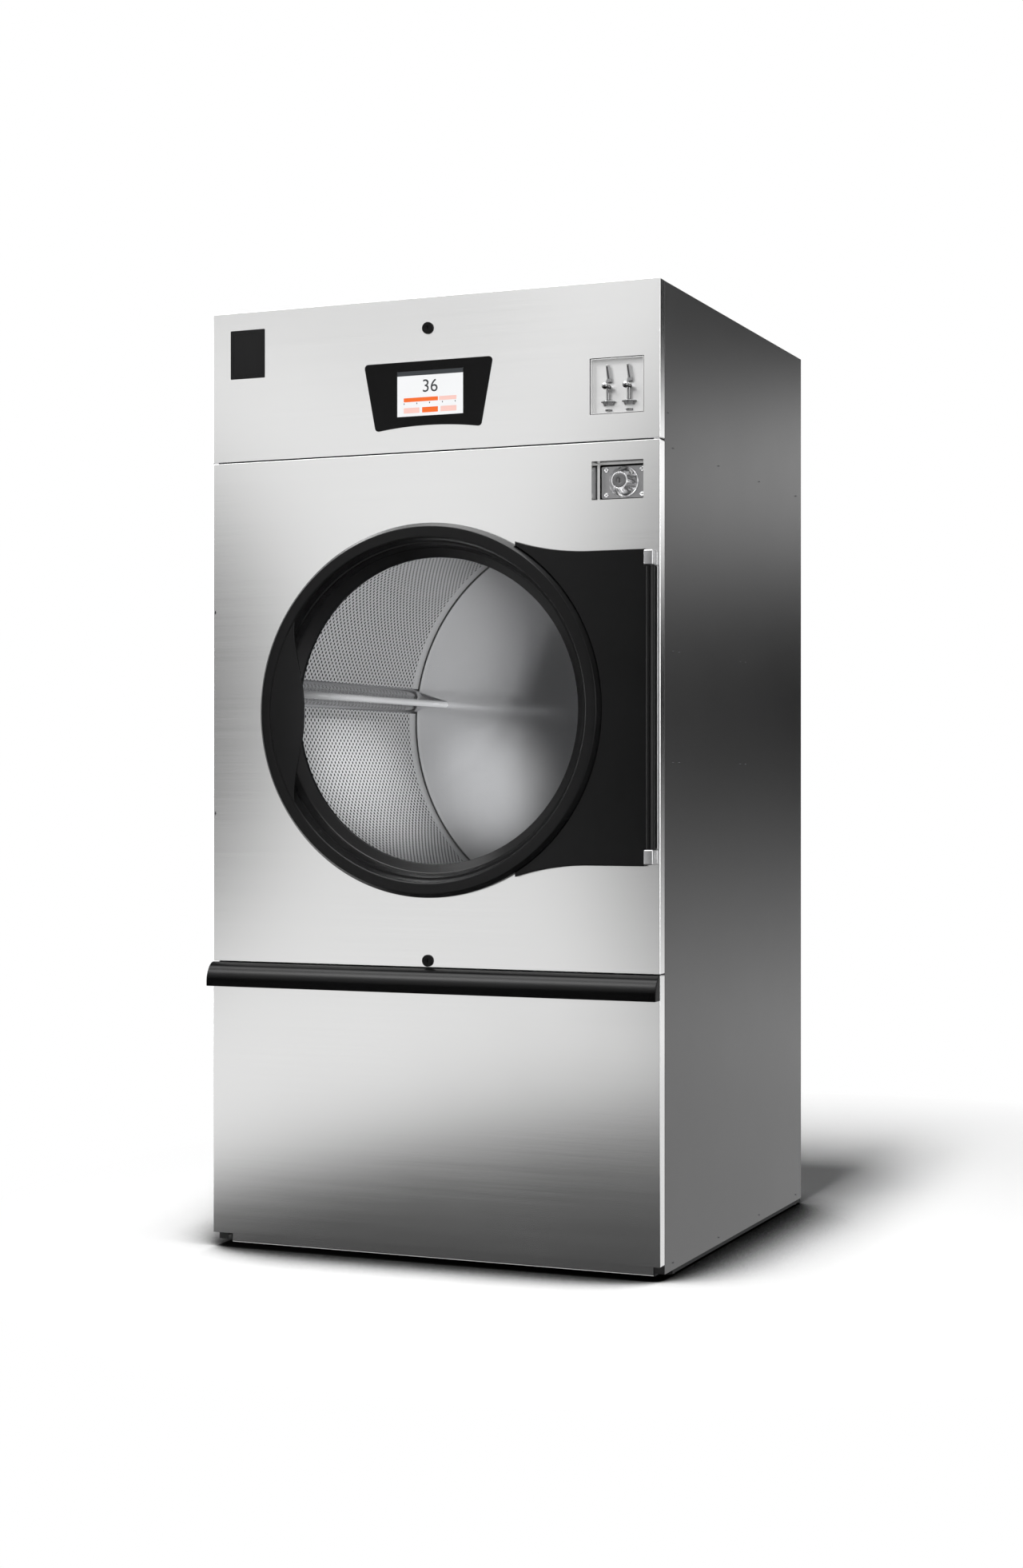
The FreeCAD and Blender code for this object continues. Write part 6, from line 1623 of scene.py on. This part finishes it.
class DRYER_OT_drum(bpy.types.Operator):
    """Models the perforated drum wall, its back and its lifters"""
    bl_idname = "dryer.drum"
    bl_label = "Drum"

    def execute(self, context):
        sizes = context.scene.dryer_drum
        colours = context.scene.dryer_colours
        low, high = span("drum_cylinder")
        radius = high.x - sizes.wall
        panel_width = 2 * math.pi * radius / sizes.panels
        columns = round(panel_width / sizes.pitch)
        start, end = low.y + sizes.margin, high.y - sizes.margin
        pairs = round((end - start) / sizes.row / 2)
        flat = self.flat_panel(sizes, panel_width / columns, columns, pairs)
        shift = start + ((end - start) - 2 * pairs * sizes.row) / 2
        for panel in range(sizes.panels):
            piece = named(copied(flat), f"drum_wall_{panel + 1}")
            self.roll(piece, radius, self.lifter_angle(sizes, panel), shift)
            finished(piece, "drum_cylinder", smooth=30, replaces=panel == 0)
        bpy.data.objects.remove(flat)
        self.bands(sizes, radius, low.y, high.y)
        self.back(sizes, colours)
        self.lifters(sizes, radius, colours)
        return {"FINISHED"}

    @staticmethod
    def lifter_angle(sizes, index):
        """The turn of a lifter round the axis, where one perforated panel starts as well."""
        return sizes.lifter_turn + 2 * math.pi * index / sizes.panels

    @staticmethod
    def flat_panel(sizes, pitch, columns, pairs):
        """A flat sheet of six-sided cells with a hole in each, as wide as one panel."""
        half, row = pitch / 2, sizes.row
        side = (row * row - half * half) / (2 * row)
        tip = (row * row + half * half) / (2 * row)
        hole = sizes.hole / 2
        centre = Vector((half, tip, 0))
        clear()
        bpy.ops.mesh.primitive_circle_add(vertices=6, radius=1, fill_type="NGON", location=centre)
        cell = settle("drum_cell")

        def shape(width, flat, peak):
            """Sets the six selected corners to the half width and the two half heights."""
            mesh = bmesh.from_edit_mesh(cell.data)
            for vertex in (vertex for vertex in mesh.verts if vertex.select):
                away = vertex.co - centre
                pointed = abs(away.x) < NEAR
                vertex.co.x = centre.x + (0 if pointed else math.copysign(width, away.x))
                vertex.co.y = centre.y + math.copysign(peak if pointed else flat, away.y)
            bmesh.update_edit_mesh(cell.data)

        with picked(cell, "FACE"):
            shape(half, side, tip)
            bpy.ops.mesh.extrude_region_move(TRANSFORM_OT_translate={"value": (0, 0, 0)})
            shape(hole * math.cos(math.pi / 6), hole / 2, hole)
            bpy.ops.mesh.extrude_region_move(TRANSFORM_OT_translate={"value": (0, 0, -sizes.lip)})
            bpy.ops.mesh.select_face_by_sides(number=6)
            bpy.ops.mesh.delete(type="ONLY_FACE")
        sheet = joined("drum_sheet", [cell, copied(cell, (half, row, 0))])
        along = {"use_relative_offset": False, "use_constant_offset": True, "use_merge_vertices": True,
                 "merge_threshold": NEAR}
        apply(sheet, "ARRAY", count=columns, constant_offset_displace=(pitch, 0, 0), **along)
        apply(sheet, "ARRAY", count=pairs, constant_offset_displace=(0, 2 * row, 0), **along)
        with picked(sheet, "VERT"):
            bpy.ops.mesh.remove_doubles(threshold=NEAR)
        return sheet

    @staticmethod
    def roll(piece, radius, first, start):
        """Rolls the flat sheet round the drum's axis, with its face inwards."""
        mesh = piece.data
        for vertex in mesh.vertices:
            turn = first + vertex.co.x / radius
            out = radius - vertex.co.z
            vertex.co = (AXIS.x + out * math.cos(turn), start + vertex.co.y, AXIS.z + out * math.sin(turn))
        mesh.update()

    @staticmethod
    def bands(sizes, radius, front, back):
        """The plain hems at both ends of the wall, and the drum's front flange."""
        mouth = 0.358
        flange = front + 0.002
        skin, outer = radius + 2e-4, radius + sizes.wall
        front_end, back_end = front + sizes.margin + sizes.row, back - sizes.margin - sizes.row
        hem = rounded([(outer, front), (outer, front_end), (skin, front_end), (skin, flange, 0.006),
                       (mouth, flange, 0.0009), (mouth, front, 0.0009)])
        tail = [(outer, back), (outer, back_end), (skin, back_end), (skin, back)]
        hems = [turned("front_hem", hem), turned("rear_hem", tail)]
        finished(joined("drum_hems", hems), "drum_cylinder", replaces=False)

    @staticmethod
    def back(sizes, colours):
        """The drum's smooth back and the sealant round its edge."""
        low, high = span("drum_back")
        radius = high.x
        seam = 0.0045
        rim = radius - sizes.wall
        edge = rim - seam
        plain = 0.2
        behind = high.y - 0.0005
        sunk = low.y + 0.0006
        sealant = rounded([(edge, behind), (edge, sunk, 0.001), (rim, sunk, 0.001), (rim, behind)])
        finished(turned("drum_back_sealant", sealant), "drum_back", replaces=False, slot="seal_rubber")
        disc = rounded([(plain, low.y), (edge, low.y, 0.0008), (edge, behind), (radius, behind),
                        (radius, high.y), (plain, high.y)], 4)
        disc = [(0, low.y), *disc, (0, high.y)]
        finished(turned("drum_back_disc", disc), "drum_back", material=drum_back_steel(colours))

    @staticmethod
    def lifters(sizes, radius, colours):
        """Folded ridges with hollow flanks and a round tip, from the front of the drum to its back."""
        low, high = span("drum_lifters")
        tip = sizes.lifter_tip
        crown_foot = sizes.lifter_height - tip
        sunk, play = 0.0005, 0.0002
        flank = curve([(-sizes.lifter_half, 0.0012), (-tip * 1.9, 0.010), (-tip * 1.2, 0.030),
                       (-tip, crown_foot)], 14)
        crown = arc((0, crown_foot), tip, 180, 0, 12)
        outline = flank[:-1] + crown + [(-across, up) for across, up in flank[-2::-1]]
        ridges = []
        for index in range(sizes.panels):
            turn = DRYER_OT_drum.lifter_angle(sizes, index)
            inward = Vector((-math.cos(turn), 0, -math.sin(turn)))
            aside = Vector((-math.sin(turn), 0, math.cos(turn)))
            foot = Vector((AXIS.x, 0, AXIS.z)) - inward * (radius - sunk)
            points = [foot + inward * up + aside * across for across, up in outline]
            ridge = prism("lifter", [(point.x, point.z) for point in points], low.y, high.y - play)
            round_front(ridge, 0.003, 2, low.y)
            ridges.append(ridge)
        # The lifters' finish carries a painted highlight along their crests
        finished(joined("drum_lifter_ridges", ridges), "drum_lifters",
                 material=lifter_painted_highlight(colours, radius - sizes.lifter_height))


class DRYER_OT_inner_works(bpy.types.Operator):
    """Gives every frame node its finish"""
    bl_idname = "dryer.inner_works"
    bl_label = "Inner works"

    def execute(self, context):
        painted_shade_finish = scorched_shroud(context.scene.dryer_colours)
        for node, piece in frame["nodes"].items():
            # The drum housing, seen only through the drum's holes, and the base frame under the machine get a
            # near-black painted shade in place of their own finish
            material = painted_shade_finish if node in ("drum_housing", "base_frame") else finish_of(SLOT_OF[node])
            for slot in piece.material_slots:
                slot.material = material
        return {"FINISHED"}


class DRYER_PT_panel(bpy.types.Panel):
    """Lists the steps of the model in the sidebar"""
    bl_idname = "DRYER_PT_panel"
    bl_label = "Tumble dryer"
    bl_space_type = "VIEW_3D"
    bl_region_type = "UI"
    bl_category = "Dryer"

    def draw(self, context):
        for operator in OPERATORS:
            self.layout.operator(operator.bl_idname)


GROUPS = {"dryer_sheets": SheetSizes, "dryer_door": DoorSizes, "dryer_drum": DrumSizes,
          "dryer_colours": Colours, "dryer_stage": StageSettings}
OPERATORS = (DRYER_OT_stage, DRYER_OT_front_sheets, DRYER_OT_cabinet_sheets, DRYER_OT_screws, DRYER_OT_door,
             DRYER_OT_hinges, DRYER_OT_handle, DRYER_OT_locks, DRYER_OT_display, DRYER_OT_badge,
             DRYER_OT_coin_panel, DRYER_OT_coin_vault, DRYER_OT_drum, DRYER_OT_inner_works)


def register():
    for kind in (*GROUPS.values(), *OPERATORS, DRYER_PT_panel):
        bpy.utils.register_class(kind)
    for name, kind in GROUPS.items():
        setattr(bpy.types.Scene, name, PointerProperty(type=kind))


def unregister():
    for name in GROUPS:
        delattr(bpy.types.Scene, name)
    for kind in (DRYER_PT_panel, *reversed(OPERATORS), *GROUPS.values()):
        bpy.utils.unregister_class(kind)


def main():
    register()
    for operator in OPERATORS:
        group, name = operator.bl_idname.split(".")
        getattr(getattr(bpy.ops, group), name)()


if __name__ == "__main__":
    main()
